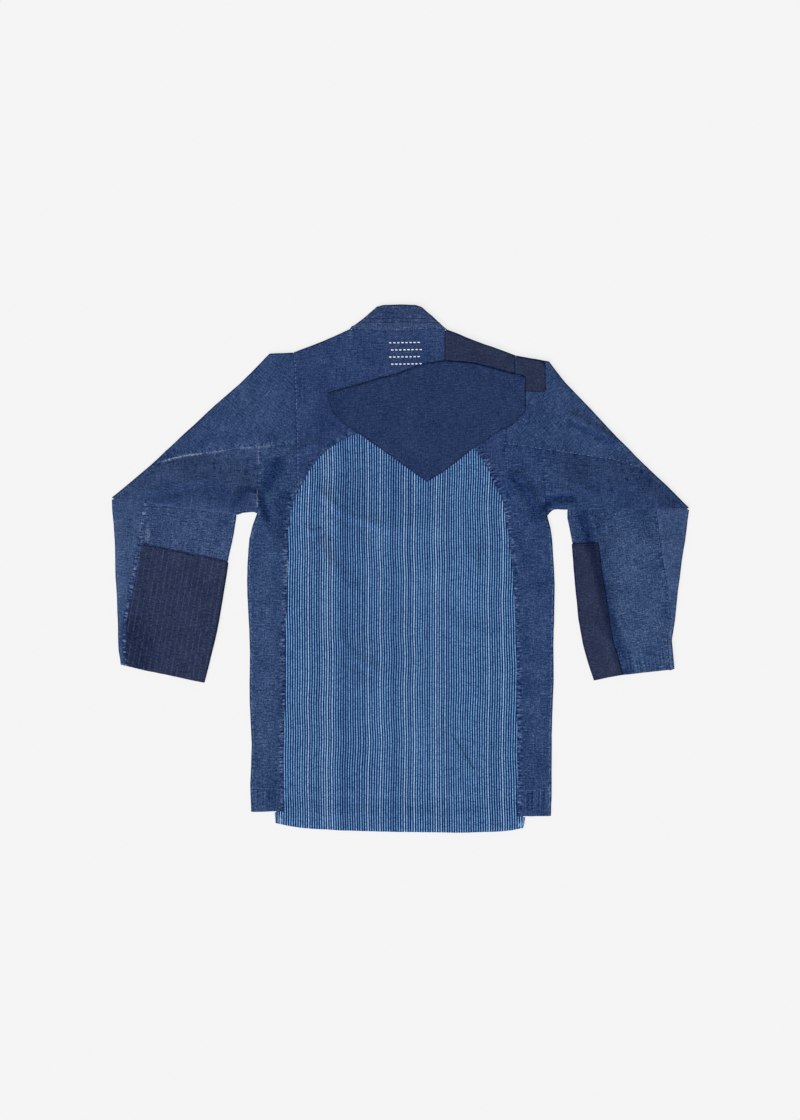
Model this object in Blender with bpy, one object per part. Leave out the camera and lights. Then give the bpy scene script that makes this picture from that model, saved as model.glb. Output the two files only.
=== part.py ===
"""A patched indigo work jacket that lies flat on its front, so its back is up.

Every sewn piece is a wall of cloth. Plan positions are in millimetres: x runs to the wearer's
right from the middle of the neck, y runs down the back from the neck seam. Left and right are
the wearer's own. Heights are above the table.
"""

import math
from collections import namedtuple

import bpy

# Cloth and layers, in millimetres
CLOTH = 1.0
SEAM_GAP = 0.3
PLY = CLOTH + SEAM_GAP
FRONT_MIDDLE = CLOTH / 2
BACK_MIDDLE = 3.6
CELL = 18.0
FOLD_STEPS = 4
EDGE_CALM = 12.0
FOLD_INSET = (BACK_MIDDLE - FRONT_MIDDLE + CLOTH) / 2
BAND_THICKNESS = 1.4

# The sleeve's tuck at the elbow: the upper sleeve climbs over the forearm
ELBOW_RISE = 6.0
RISE_FROM_OUTER_EDGE = 36.0
RISE_FROM_BODY = 28.0
TUCK_DEPTH = 33.0
TUCK_SLOPE = 60.0
TUCK_THICKNESS = 1.2
TUCK_ENDS = (0.14, 0.96)
TUCK_SETBACK = 2.0

# Body: the cut of the back
SHOULDER_WRAP = 12.0
HEM_TURN = 37.0
HEM_TAPER = 0.015
FRONT_DROP = SHOULDER_WRAP + 1.5
LEFT_SHOULDER = ((-168, 35), (-143, 25), (-119, 15), (-93, 5), (-79, -2))
RIGHT_SHOULDER = ((68, -1), (121, 19), (177, 39))
NECK_SEAM = (
    (-79, -2), (-62, -1), (-46, 0), (-28, 1), (-3, 2), (18, 1), (34, -1), (52, -1), (68, -1),
)
COLLAR_EDGE = (
    (-73, -8), (-55, -22), (-39, -36), (-29, -39), (-3, -40), (22, -39), (31, -36), (47, -22), (62, -7),
)
SHOULDER_STEPS = {"left": 5, "right": 7}
ARCH_SEAM = (
    (-163, 253), (-155, 240), (-140, 211), (-118, 187), (-91, 169), (-68, 159), (-34, 147),
    (12, 140), (59, 144), (93, 164), (115, 186), (133, 214), (144, 239), (155, 259),
)
ARMHOLE_STEPS = 8
UNDERARM_STEPS = 4
SIDE_STEPS = 24
FLAP_ROWS = 6
BACK_HEM = (
    (-196.5, 764), (-184, 767), (-155, 772), (-98, 775), (-22, 777), (50, 778), (104, 779),
    (144, 777), (166, 776), (188.5, 771.5),
)

# One column per line of each side of the body, from top to bottom
BodySide = namedtuple("BodySide", "armhole stripe_seam gusset side_edge vent front_edge band_edge")
BODY = {
    "left": BodySide(
        armhole=((-168, 35), (-163, 178), (-163, 253)),
        stripe_seam=((-163, 253), (-169, 267), (-173, 287), (-177, 318), (-177, 356), (-178, 418),
                     (-181, 480), (-181, 558), (-183, 636), (-184, 746)),
        gusset=((-223, 182), (-225, 284)),
        side_edge=((-225, 284), (-236, 315), (-239, 356), (-240, 403), (-236, 480), (-236, 574),
                   (-233, 636), (-235, 705), (-233, 746)),
        vent=((-197.5, 747.6), (-197, 756)),
        front_edge=((-79, 13), (-52, 300), (-52, 746)),
        band_edge=((-42, 6), (-5, 300), (-5, 746)),
    ),
    "right": BodySide(
        armhole=((177, 39), (160, 177), (155, 259)),
        stripe_seam=((155, 259), (160, 287), (167, 333), (171, 372), (174, 418), (177, 480),
                     (178, 604), (179, 753)),
        gusset=((215, 185), (225, 288)),
        side_edge=((225, 288), (232, 315), (237, 388), (235, 496), (235, 542), (232, 620),
                   (232, 682), (231, 753)),
        vent=((190.5, 754.6), (189.5, 763)),
        front_edge=((68, 13), (46, 300), (46, 753)),
        band_edge=((36, 6), (-1, 300), (-1, 753)),
    ),
}

# Upper sleeve, one row per section from the armhole to the elbow fold
Section = namedtuple("Section", "outer seam inner")
UPPER_SLEEVE = {
    "left": (
        Section((-168, 35), (-163, 178), (-225, 284)),
        Section((-205, 36), (-197, 180), (-225, 284)),
        Section((-217, 48), (-223, 182), (-225, 284)),
        Section((-251, 83), (-251, 184), (-229, 282)),
        Section((-288, 115), (-290, 190), (-235, 282)),
        Section((-344, 167), (-339, 196), (-243, 283)),
        Section((-380, 201), (-375, 206), (-249, 284)),
        Section((-450, 260), (-445, 262), (-254, 285)),
    ),
    "right": (
        Section((177, 39), (160, 177), (225, 288)),
        Section((228, 49), (198, 182), (225, 288)),
        Section((239, 63), (215, 185), (225, 288)),
        Section((254, 82), (239, 188), (229, 283)),
        Section((291, 121), (284, 195), (234, 279)),
        Section((336, 169), (330, 202), (241, 277)),
        Section((380, 212), (374, 216), (248, 277)),
        Section((445, 276), (439.5, 277), (253, 277)),
    ),
}
GUSSET_ROW = 2

# Forearm, one row per section from under the elbow fold to the cuff
ForearmSection = namedtuple("ForearmSection", "outer seam patch inner raised")
FOREARM = {
    "left": (
        ForearmSection((-449.5, 262.6), (-401, 268.2), (-390, 268), (-259, 256), 0),
        ForearmSection((-448.5, 285), (-403.5, 287), (-396, 287), (-256, 290), 0),
        ForearmSection((-447, 302), (-406, 305), (-398, 306), (-260, 316), 0),
        ForearmSection((-445, 326), (-410, 332), (-402, 333), (-270, 360), 1),
        ForearmSection((-443, 388), (-421, 388), (-413, 389), (-278, 414), 1),
        ForearmSection((-440, 450), (-431, 447), (-425, 448), (-288, 468), 1),
        ForearmSection((-439, 496), (-433, 494), (-428, 496), (-299, 516), 1),
        ForearmSection((-436, 519), (-430, 520), (-426, 521), (-307, 546), 1),
    ),
    "right": (
        ForearmSection((445, 278.6), (394, 278.8), (300, 268), (258, 250), 0),
        ForearmSection((443, 292), (395.5, 292), (301, 292), (256, 292), 0),
        ForearmSection((441, 305), (397, 305), (302, 306), (259, 307), 0),
        ForearmSection((438, 330), (400, 332), (303, 330), (264, 332), 1),
        ForearmSection((432, 366), (405, 366), (308, 366), (267, 367), 1),
        ForearmSection((428, 403), (412, 403), (314, 403), (270, 406), 1),
        ForearmSection((423, 450), (416, 448), (321, 448), (275, 448), 1),
        ForearmSection((418, 480), (411, 480), (327, 484), (281, 485), 1),
        ForearmSection((422, 525), (415, 526), (342, 534), (298, 543), 1),
    ),
}
PATCH_EDGE_STEPS = {"left": 1, "right": 4}
PATCH_STEPS = 5

# Patches that lie on the back, one row per column of cloth from left to right
PatchColumn = namedtuple("PatchColumn", "x top bottom")
YOKE_PATCH = (
    PatchColumn(-115, 98, 106), PatchColumn(-107, 95, 129), PatchColumn(-91, 91, 146),
    PatchColumn(-65, 84, 162), PatchColumn(-34, 75, 184), PatchColumn(-6, 68, 204),
    PatchColumn(18, 58, 221), PatchColumn(39, 52, 236), PatchColumn(65, 48, 219),
    PatchColumn(86, 49, 203), PatchColumn(108, 51, 185), PatchColumn(127, 55, 174),
    PatchColumn(150, 62, 158), PatchColumn(172, 68, 147), PatchColumn(191, 73, 128),
)
SHOULDER_PATCH = (
    PatchColumn(66, 1, 47), PatchColumn(86, 8, 48), PatchColumn(108, 16, 50),
    PatchColumn(130, 24, 55), PatchColumn(151, 31, 61), PatchColumn(174, 40, 67),
)
SLEEVE_HEAD_PATCH = (
    PatchColumn(178, 41, 68), PatchColumn(191.3, 44, 72), PatchColumn(192, 44, 95),
    PatchColumn(208, 48, 96), PatchColumn(222, 51, 96),
)
PATCH_ROWS = 5

# The largest folds that stand up from the cloth
Fold = namedtuple("Fold", "x0 y0 x1 y1 half_width height")
BODY_FOLDS = (
    Fold(-214, 250, -192, 345, 24, 1.8),
    Fold(-195, 208, -133, 175, 26, 1.6),
    Fold(-127, 250, -40, 302, 30, 2.2),
    Fold(-140, 312, -112, 361, 26, 1.6),
    Fold(-96, 473, -40, 529, 30, 1.8),
    Fold(104, 340, 110, 372, 26, 1.2),
    Fold(-352, 222, -300, 214, 22, 1.4),
    Fold(232, 138, 322, 168, 26, 1.8),
    Fold(262, 222, 296, 226, 20, 1.2),
    Fold(168, 228, 214, 292, 26, 2.0),
    Fold(20, 600, 70, 680, 34, 1.0),
)
FOREARM_FOLDS = (
    Fold(300, 350, 313, 460, 22, 1.6),
    Fold(313, 460, 332, 512, 22, 1.4),
    Fold(-400, 470, -370, 488, 24, 1.2),
    Fold(-330, 380, -318, 440, 26, 1.0),
)

# Cloth colours as they look on screen, red, green and blue out of 255, and the roughness
Dye = namedtuple("Dye", "red green blue roughness")
MID_INDIGO = Dye(52, 71, 109, 0.92)
WORN_INDIGO = Dye(63, 84, 121, 0.93)
SIDE_INDIGO = Dye(51, 73, 113, 0.92)
STRIPE_BLUE = Dye(72, 105, 152, 0.9)
YOKE_INDIGO = Dye(41, 57, 93, 0.92)
DARK_NAVY = Dye(44, 51, 79, 0.94)


def clear_scene():
    for leftover in list(bpy.data.objects):
        bpy.data.objects.remove(leftover, do_unlink=True)


def smooth(t):
    t = min(1.0, max(0.0, t))
    return t * t * (3 - 2 * t)


def between(a, b, t):
    return (a[0] + (b[0] - a[0]) * t, a[1] + (b[1] - a[1]) * t)


def along(line, steps):
    """The line's own points replaced by evenly spaced ones."""
    lengths = [math.dist(a, b) for a, b in zip(line, line[1:])]
    total = sum(lengths)
    points = []
    for step in range(steps + 1):
        left = total * step / steps
        leg = 0
        while leg < len(lengths) - 1 and left > lengths[leg]:
            left -= lengths[leg]
            leg += 1
        points.append(between(line[leg], line[leg + 1], min(1.0, left / lengths[leg])))
    return points


def legs(line, counts):
    """Evenly spaced points on each leg of the line, with its corners kept."""
    points = [line[0]]
    for a, b, count in zip(line, line[1:], counts):
        points += [between(a, b, step / count) for step in range(1, count + 1)]
    return points


def refine(sections):
    """Sections with even ones between those that lie far apart. Numbers blend as points do."""
    fine = [[*sections[0]]]
    for here, there in zip(sections, sections[1:]):
        pairs = [(a, b) for a, b in zip(here, there) if isinstance(a, tuple)]
        steps = max(1, round(max(math.dist(a, b) for a, b in pairs) / CELL))
        for step in range(1, steps + 1):
            t = step / steps
            fine.append([
                between(a, b, t) if isinstance(a, tuple) else a + (b - a) * smooth(t)
                for a, b in zip(here, there)
            ])
    return fine


def span(top, bottom, left, right):
    """A plan grid between four edge lines, as rows from top to bottom."""
    last_row, last_col = len(left) - 1, len(top) - 1
    corners = (top[0], top[-1], bottom[0], bottom[-1])
    rows = []
    for i in range(last_row + 1):
        v = i / last_row
        row = []
        for j in range(last_col + 1):
            u = j / last_col
            point = []
            for k in (0, 1):
                ruled = (1 - v) * top[j][k] + v * bottom[j][k] + (1 - u) * left[i][k] + u * right[i][k]
                tl, tr, bl, br = (c[k] for c in corners)
                mixed = (1 - v) * ((1 - u) * tl + u * tr) + v * ((1 - u) * bl + u * br)
                point.append(ruled - mixed)
            row.append(tuple(point))
        rows.append(row)
    return rows


def pull_in(loop, amounts):
    """A closed plan outline with each edge moved inwards by its own amount."""
    area = sum(a[0] * b[1] - b[0] * a[1] for a, b in zip(loop, loop[1:] + loop[:1]))
    turn = 1 if area > 0 else -1
    moved = []
    for k, here in enumerate(loop):
        before, after = loop[k - 1], loop[(k + 1) % len(loop)]
        normals = []
        for a, b in ((before, here), (here, after)):
            length = math.dist(a, b)
            normals.append((-(b[1] - a[1]) * turn / length, (b[0] - a[0]) * turn / length))
        (ax, ay), (bx, by) = normals
        da, db = amounts[k - 1], amounts[k]
        cross = ax * by - ay * bx
        if abs(cross) < 0.2:
            mean = (da + db) / 2
            moved.append((here[0] + (ax + bx) / 2 * mean, here[1] + (ay + by) / 2 * mean))
        else:
            moved.append((here[0] + (da * by - db * ay) / cross, here[1] + (ax * db - bx * da) / cross))
    return moved


def seam_allowance(rows, first=True, last=True, near=True, far=True):
    """The grid with its sewn edges drawn back by half a seam gap."""
    n, m = len(rows), len(rows[0])
    half = SEAM_GAP / 2
    spots = [(0, j) for j in range(m)] + [(i, m - 1) for i in range(1, n)]
    spots += [(n - 1, j) for j in range(m - 2, -1, -1)] + [(i, 0) for i in range(n - 2, 0, -1)]
    amounts = [half * first] * (m - 1) + [half * far] * (n - 1)
    amounts += [half * last] * (m - 1) + [half * near] * (n - 1)
    moved = pull_in([rows[i][j] for i, j in spots], amounts)
    result = [list(row) for row in rows]
    for (i, j), point in zip(spots, moved):
        result[i][j] = point
    return result


def fold_relief(point, folds):
    """How far the largest folds lift the cloth at a plan point."""
    x, y = point
    lift = 0.0
    for fold in folds:
        dx, dy = fold.x1 - fold.x0, fold.y1 - fold.y0
        t = ((x - fold.x0) * dx + (y - fold.y0) * dy) / (dx * dx + dy * dy)
        t = min(1.0, max(0.0, t))
        away = math.hypot(x - fold.x0 - t * dx, y - fold.y0 - t * dy)
        lift += fold.height * smooth(1 - away / fold.half_width)
    return lift


def flat_strip(path, folds, level=0):
    """Cloth that lies on the pile: plan points with their heights and upward normals."""
    middle = BACK_MIDDLE + level * PLY
    return [((x, y, middle + fold_relief((x, y), folds)), (0, 0, 1)) for x, y in path]


def turned_strip(path, back, folds, rise=lambda point: 0.0, under=FRONT_MIDDLE):
    """Cloth that runs to its fold edge, round it, and back along the layer below.

    The path ends on the outline, which the outside of the cloth touches.
    """
    edge, before = path[-1], path[-2]
    reach = math.dist(before, edge)
    out = ((edge[0] - before[0]) / reach, (edge[1] - before[1]) / reach)
    lift = rise(edge)
    radius = (BACK_MIDDLE - under) / 2
    inset = radius + CLOTH / 2
    centre = (edge[0] - out[0] * inset, edge[1] - out[1] * inset)
    strip = []
    for point in path[:-1]:
        calm = smooth(math.dist(point, edge) / EDGE_CALM)
        height = BACK_MIDDLE + rise(point) + calm * fold_relief(point, folds)
        strip.append(((*point, height), (0, 0, 1)))
    for step in range(FOLD_STEPS + 1):
        angle = math.pi * step / FOLD_STEPS
        side, up = math.sin(angle), math.cos(angle)
        x, y = centre[0] + out[0] * radius * side, centre[1] + out[1] * radius * side
        strip.append(((x, y, lift + under + radius * (1 + up)), (out[0] * side, out[1] * side, up)))
    strip += [((*point, under + rise(point)), (0, 0, -1)) for point in back]
    return strip


def to_fold(near, edge, steps):
    """Evenly spaced points from a seam to where the fold begins, and then the fold's edge."""
    reach = math.dist(near, edge)
    start = between(near, edge, 1 - FOLD_INSET / reach)
    return [between(near, start, step / steps) for step in range(steps)] + [edge]


def moved_out(strip, distance):
    """The same strip, one layer further out, for a patch that lies on it."""
    return [
        (tuple(p + n * distance for p, n in zip(point, normal)), normal)
        for point, normal in strip
    ]


def cloth_material(name, dye):
    material = bpy.data.materials.new(name)
    material.use_nodes = True
    shader = material.node_tree.nodes["Principled BSDF"]
    linear = [((c / 255 + 0.055) / 1.055) ** 2.4 for c in (dye.red, dye.green, dye.blue)]
    shader.inputs["Base Color"].default_value = (*linear, 1)
    shader.inputs["Roughness"].default_value = dye.roughness
    shader.inputs["Metallic"].default_value = 0
    return material


def add_piece(name, vertices, faces, dye):
    """A piece of the jacket. Plan millimetres become metres with +Y towards the collar."""
    mesh = bpy.data.meshes.new(name)
    mesh.from_pydata([(x / 1000, -y / 1000, z / 1000) for x, y, z in vertices], [], faces)
    if signed_volume(mesh) < 0:
        mesh.flip_normals()
    mesh.materials.append(cloth_material(name + "_cloth", dye))
    piece = bpy.data.objects.new(name, mesh)
    bpy.context.scene.collection.objects.link(piece)
    mesh.shade_smooth()
    mesh.set_sharp_from_angle(angle=math.radians(50))
    return piece


def signed_volume(mesh):
    mesh.calc_loop_triangles()
    total = 0.0
    for triangle in mesh.loop_triangles:
        a, b, c = (mesh.vertices[v].co for v in triangle.vertices)
        total += a.dot(b.cross(c)) / 6
    return total


def wall(name, strips, dye, keep=lambda i, j: True):
    """A wall of cloth through a grid of strips. keep says which cells are cloth.

    Both sides of a cell are split along the same diagonal, so layers stay evenly apart.
    """
    n, m = len(strips), len(strips[0])
    cells = [(i, j) for i in range(n - 1) for j in range(m - 1) if keep(i, j)]
    used = sorted({(i + a, j + b) for i, j in cells for a in (0, 1) for b in (0, 1)})
    outer = {spot: 2 * k for k, spot in enumerate(used)}
    vertices = []
    for i, j in used:
        point, normal = strips[i][j]
        for side in (1, -1):
            vertices.append(tuple(p + side * q * CLOTH / 2 for p, q in zip(point, normal)))
    faces = []
    rim = {}
    for i, j in cells:
        ring = [outer[spot] for spot in ((i, j), (i, j + 1), (i + 1, j + 1), (i + 1, j))]
        for corners in ((0, 1, 2), (0, 2, 3)):
            triangle = [ring[c] for c in corners]
            faces.append(triangle)
            faces.append([v + 1 for v in reversed(triangle)])
        for a, b in zip(ring, ring[1:] + ring[:1]):
            if (b, a) in rim:
                del rim[b, a]
            else:
                rim[a, b] = True
    faces += [[b, a, a + 1, b + 1] for a, b in rim]
    return add_piece(name, vertices, faces, dye)


def slab(name, outline, bottom, top, dye):
    """A flat piece between two heights, drawn back from its neighbours by half a seam gap."""
    ring = pull_in(outline, [SEAM_GAP / 2] * len(outline))
    count = len(ring)
    vertices = [(x, y, bottom) for x, y in ring] + [(x, y, top) for x, y in ring]
    faces = [list(range(count)), list(range(2 * count - 1, count - 1, -1))]
    for k in range(count):
        after = (k + 1) % count
        faces.append([after, k, k + count, after + count])
    return add_piece(name, vertices, faces, dye)


def shoulder_and_neck():
    """The back's top edge, with the neck seam between its two shoulders."""
    left = along(LEFT_SHOULDER, SHOULDER_STEPS["left"])
    right = along(RIGHT_SHOULDER, SHOULDER_STEPS["right"])
    return left + list(NECK_SEAM[1:]) + right[1:]


def arch_points():
    return along(ARCH_SEAM, len(shoulder_and_neck()) - 1)


def side_seam(side):
    """The seam from the sleeve down the side panel, first the underarm and then the stripe panel."""
    body = BODY[side]
    lower_armhole = legs(body.armhole[1:], [UNDERARM_STEPS])
    return lower_armhole + along(body.stripe_seam, SIDE_STEPS)[1:]


def back_upper():
    """The plain upper back. It wraps a little way over both shoulders onto the front."""
    top = shoulder_and_neck()
    armholes = [legs(BODY[s].armhole, [ARMHOLE_STEPS, UNDERARM_STEPS]) for s in ("left", "right")]
    rows = seam_allowance(span(top, arch_points(), *armholes))
    strips = []
    for j in range(len(top)):
        column = [row[j] for row in reversed(rows)]
        edge, before = column[-1], column[-2]
        run = SHOULDER_WRAP / math.dist(edge, before)
        strips.append(turned_strip(column, [between(edge, before, run)], BODY_FOLDS))
    first_neck = SHOULDER_STEPS["left"]
    neck = range(first_neck, first_neck + len(NECK_SEAM) - 1)
    flat_cells = len(rows) - 2
    for j in neck[1:]:
        strips[j][flat_cells + 1] = flat_strip([rows[0][j]], ())[0]
    wall("back_upper", strips, MID_INDIGO, lambda i, j: i not in neck or j <= flat_cells)


def back_stripe():
    """The striped back panel under its arch, wider below the side vents, with a turned hem."""
    edges = []
    corners = (BACK_HEM[0], BACK_HEM[-1])
    for side, corner in zip(("left", "right"), corners):
        body = BODY[side]
        edges.append(along(body.stripe_seam, SIDE_STEPS) + [*body.vent, corner])
    top = arch_points()
    rows = seam_allowance(span(top, along(BACK_HEM, len(top) - 1), *edges), last=False)
    under = BACK_MIDDLE - PLY
    strips = []
    for j in range(len(top)):
        column = [row[j] for row in rows]
        x, y = column[-1]
        turned = [(x * (1 - HEM_TAPER), y - HEM_TURN)]
        strips.append(turned_strip(column, turned, BODY_FOLDS, under=under))
    wall("back_stripe_panel", strips, STRIPE_BLUE)


def side_panel(side):
    """From the sleeve seam to the hem, round the side of the body to the front's side seam."""
    body = BODY[side]
    seam = side_seam(side)
    inwards = SEAM_GAP if side == "left" else -SEAM_GAP
    flap_edge = [(x + inwards, y) for x, y in along(body.gusset, FLAP_ROWS)]
    edge = flap_edge[:-1] + along(body.side_edge, len(seam) - 1 - FLAP_ROWS)
    rows = seam_allowance([to_fold(a, b, 4) for a, b in zip(seam, edge)], far=False)
    strips = [turned_strip(row, [row[0]], BODY_FOLDS) for row in rows]
    flat_cells = len(rows[0]) - 2
    for i in range(FLAP_ROWS):
        strips[i][flat_cells + 1] = flat_strip([rows[i][-1]], ())[0]
    wall(f"side_panel_{side}", strips, SIDE_INDIGO,
         lambda i, j: i >= FLAP_ROWS or j <= flat_cells)


def front(side):
    """A plain front. It lies on the table, from below the shoulder's wrap to the hem."""
    body = BODY[side]
    seam = side_seam(side)[FLAP_ROWS:]
    shoulder = LEFT_SHOULDER if side == "left" else RIGHT_SHOULDER[::-1]
    shoulder_point, armpit = body.armhole[:2]
    below_wrap = between(shoulder_point, armpit, FRONT_DROP / math.dist(shoulder_point, armpit))
    top = [(x, y + FRONT_DROP) for x, y in shoulder[1:-1]]
    outline = [armpit, below_wrap] + top + list(body.front_edge)
    outline += seam[::-1] + [body.side_edge[0], body.gusset[0]]
    slab(f"front_{side}", outline, 0.0, CLOTH, MID_INDIGO)


def front_band(side):
    """The doubled band down the front edge, from the collar to the hem."""
    body = BODY[side]
    outline = list(body.front_edge) + list(body.band_edge)[::-1]
    slab(f"front_band_{side}", outline, 0.0, BAND_THICKNESS, MID_INDIGO)


def collar():
    """The band that stands at the back of the neck, folded along its top edge."""
    rows = [to_fold(a, b, 3) for a, b in zip(NECK_SEAM, COLLAR_EDGE)]
    rows = seam_allowance(rows, first=False, last=False, far=False)
    wall("collar_back", [turned_strip(row, [row[0]], ()) for row in rows], WORN_INDIGO)


def elbow_rise(side):
    """How high the upper sleeve lies where it passes over the tucked forearm."""
    first, gusset, last = UPPER_SLEEVE[side][1], BODY[side].gusset, UPPER_SLEEVE[side][-1]

    def off_line(point, a, b):
        cross = (b[0] - a[0]) * (point[1] - a[1]) - (b[1] - a[1]) * (point[0] - a[0])
        return abs(cross) / math.dist(a, b)

    def rise(point):
        from_outer = smooth(off_line(point, first.outer, last.outer) / RISE_FROM_OUTER_EDGE)
        from_body = smooth(off_line(point, *gusset) / RISE_FROM_BODY)
        off_fold = off_line(point, last.outer, last.inner)
        near_fold = smooth(1 - (off_fold - TUCK_DEPTH) / TUCK_SLOPE)
        return ELBOW_RISE * from_outer * from_body * near_fold

    return rise


def upper_sleeve(side):
    """The top and under pieces of the flattened upper sleeve, each round its own fold edge."""
    rise = elbow_rise(side)
    sections = refine(UPPER_SLEEVE[side])
    gusset_seam = UPPER_SLEEVE[side][GUSSET_ROW].seam
    gusset = min(range(len(sections)), key=lambda i: math.dist(sections[i][1], gusset_seam))
    rows = [to_fold(seam, outer, 6) for outer, seam, inner in sections]
    rows = seam_allowance(rows, far=False)
    strips = [turned_strip(row, row[-3::-2], BODY_FOLDS, rise) for row in rows]
    wall(f"top_sleeve_{side}", strips, MID_INDIGO)
    rows = [to_fold(seam, inner, 6) for outer, seam, inner in sections[gusset:]]
    rows = seam_allowance(rows, far=False)
    strips = [turned_strip(row, row[-2::-1], BODY_FOLDS, rise) for row in rows]
    wall(f"under_sleeve_{side}", strips, MID_INDIGO)


def elbow_tuck(side):
    """The wedge of sleeve that is folded away between the forearm and the upper sleeve."""
    first = FOREARM[side][0]
    fold_end = UPPER_SLEEVE[side][-1].inner
    outer = between(first.seam, fold_end, TUCK_ENDS[0])
    inner = between(first.seam, fold_end, TUCK_ENDS[1])
    hidden = between(first.seam, first.inner, TUCK_ENDS[1])
    outline = [(x, y - TUCK_SETBACK) for x, y in (outer, inner, hidden)]
    bottom = BACK_MIDDLE + CLOTH / 2 + SEAM_GAP
    slab(f"elbow_tuck_{side}", outline, bottom, bottom + TUCK_THICKNESS, MID_INDIGO)


def forearm(side):
    """The flattened forearm: an outer strip, an inner piece and the dark patch round its edge."""
    sections = refine(FOREARM[side])
    first_patch = next(i for i, section in enumerate(sections) if section[4] > 0.999)

    def strips(lines, returns):
        result = []
        for row, section in zip(seam_allowance(lines, far=False), sections):
            raised = section[4] * PLY
            back = [row[column] for column in returns]
            result.append(turned_strip(row, back, FOREARM_FOLDS, lambda point: raised))
        return result

    outer = [to_fold(s[1], s[0], 2) for s in sections]
    wall(f"forearm_outer_{side}", strips(outer, [0]), WORN_INDIGO)
    to_patch = PATCH_EDGE_STEPS[side]
    inner = [legs((s[1], s[2]), [to_patch])[:-1] + to_fold(s[2], s[3], PATCH_STEPS) for s in sections]
    inner_strips = strips(inner, [to_patch, 0])
    wall(f"forearm_inner_{side}", inner_strips, MID_INDIGO)
    patch = [moved_out(strip[to_patch:-1], PLY) for strip in inner_strips[first_patch:]]
    wall(f"cuff_patch_{side}", patch, DARK_NAVY)


def laid_patch(name, columns, dye):
    """A patch that lies on the back, made of columns from its top edge to its bottom edge."""
    rows = [legs(((c.x, c.top), (c.x, c.bottom)), [PATCH_ROWS]) for c in columns]
    rows = seam_allowance(rows)
    wall(name, [flat_strip(row, BODY_FOLDS, level=1) for row in rows], dye)


def centre_on_table():
    """Puts the origin under the middle of the jacket's own box."""
    meshes = [piece.data for piece in bpy.context.scene.objects]
    points = [vertex.co for mesh in meshes for vertex in mesh.vertices]
    middle_x = (min(p.x for p in points) + max(p.x for p in points)) / 2
    middle_y = (min(p.y for p in points) + max(p.y for p in points)) / 2
    for mesh in meshes:
        for vertex in mesh.vertices:
            vertex.co.x -= middle_x
            vertex.co.y -= middle_y
        mesh.update()


def main():
    clear_scene()
    back_upper()
    back_stripe()
    collar()
    for side in ("left", "right"):
        side_panel(side)
        front(side)
        front_band(side)
        upper_sleeve(side)
        elbow_tuck(side)
        forearm(side)
    laid_patch("yoke_patch", YOKE_PATCH, YOKE_INDIGO)
    laid_patch("shoulder_patch", SHOULDER_PATCH, DARK_NAVY)
    laid_patch("sleeve_head_patch", SLEEVE_HEAD_PATCH, DARK_NAVY)
    centre_on_table()


main()
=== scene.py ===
# %% [markdown]
# # A patched indigo work jacket, laid flat on its front
#
# The real jacket is sewn from old hand-woven cotton: plain indigo pieces, a striped back panel
# and a few dark patches. It lies on a pale table with its back up, seen from straight above.
#
# The lesson dresses a finished solid model. Each solid is one sewn piece, and each one gets a
# fine cloth shell, with creases, puckered seams, a woven material and real stitches.

import math
from collections import namedtuple

import bmesh
import bpy
import numpy as np
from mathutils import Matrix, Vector
from mathutils.bvhtree import BVHTree
from mathutils.kdtree import KDTree


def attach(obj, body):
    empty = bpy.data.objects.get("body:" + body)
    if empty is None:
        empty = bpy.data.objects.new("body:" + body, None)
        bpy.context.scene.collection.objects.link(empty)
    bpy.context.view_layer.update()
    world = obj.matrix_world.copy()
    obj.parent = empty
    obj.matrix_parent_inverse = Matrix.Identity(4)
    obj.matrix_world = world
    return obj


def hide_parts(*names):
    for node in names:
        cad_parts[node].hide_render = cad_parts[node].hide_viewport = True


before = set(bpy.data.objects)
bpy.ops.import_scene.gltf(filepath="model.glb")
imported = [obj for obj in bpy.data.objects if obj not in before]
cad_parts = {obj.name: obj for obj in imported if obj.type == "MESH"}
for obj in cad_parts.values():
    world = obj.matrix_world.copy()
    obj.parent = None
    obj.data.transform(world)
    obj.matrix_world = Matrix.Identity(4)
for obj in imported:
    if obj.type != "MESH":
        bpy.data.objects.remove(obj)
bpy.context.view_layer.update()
print("sewn pieces:", len(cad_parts))

# %% [markdown]
# ## Plan positions
#
# The jacket was measured in millimetres on a plan: x runs to the right from the middle of the
# neck, and y runs down the back from the neck seam. The model's frame is in metres with +Y
# towards the collar, so one pair of functions turns plan positions into the frame and back.

# %% Plan to frame
NECK_X = 0.0025
NECK_Y = 0.3695


def to_frame(x, y):
    return NECK_X + x / 1000, NECK_Y - y / 1000


def to_plan(points):
    """Plan millimetres, with heights in millimetres, of an array of frame positions."""
    plan = np.empty_like(points)
    plan[:, 0] = (points[:, 0] - NECK_X) * 1000
    plan[:, 1] = (NECK_Y - points[:, 1]) * 1000
    plan[:, 2] = points[:, 2] * 1000
    return plan


print("neck seam's middle in the frame:", to_frame(0, 0))

# %% [markdown]
# ## Camera, table and light
#
# The photograph looks straight down. A long lens from high above keeps the panels square, and
# its distance follows from the picture's height in millimetres. Light comes softly from all
# round, with a broad lamp on the hem's side so that creases still read. The table glows a little
# like a light table, as product photographers use one, so it stays even right up to the cloth.

# %% Camera
LENS = 85
SENSOR = 36
MM_PER_PIXEL = 1.55
PICTURE_HIGH = 1120
VIEW_MIDDLE = (-0.0006, 0.0130)
camera_data = bpy.data.cameras.new("camera")
camera_data.lens = LENS
camera_data.sensor_width = SENSOR
camera = bpy.data.objects.new("camera", camera_data)
camera.location = (*VIEW_MIDDLE, MM_PER_PIXEL / 1000 * PICTURE_HIGH * LENS / SENSOR)
bpy.context.scene.collection.objects.link(camera)
bpy.context.scene.camera = camera
print("camera height:", round(camera.location.z, 3))

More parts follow.
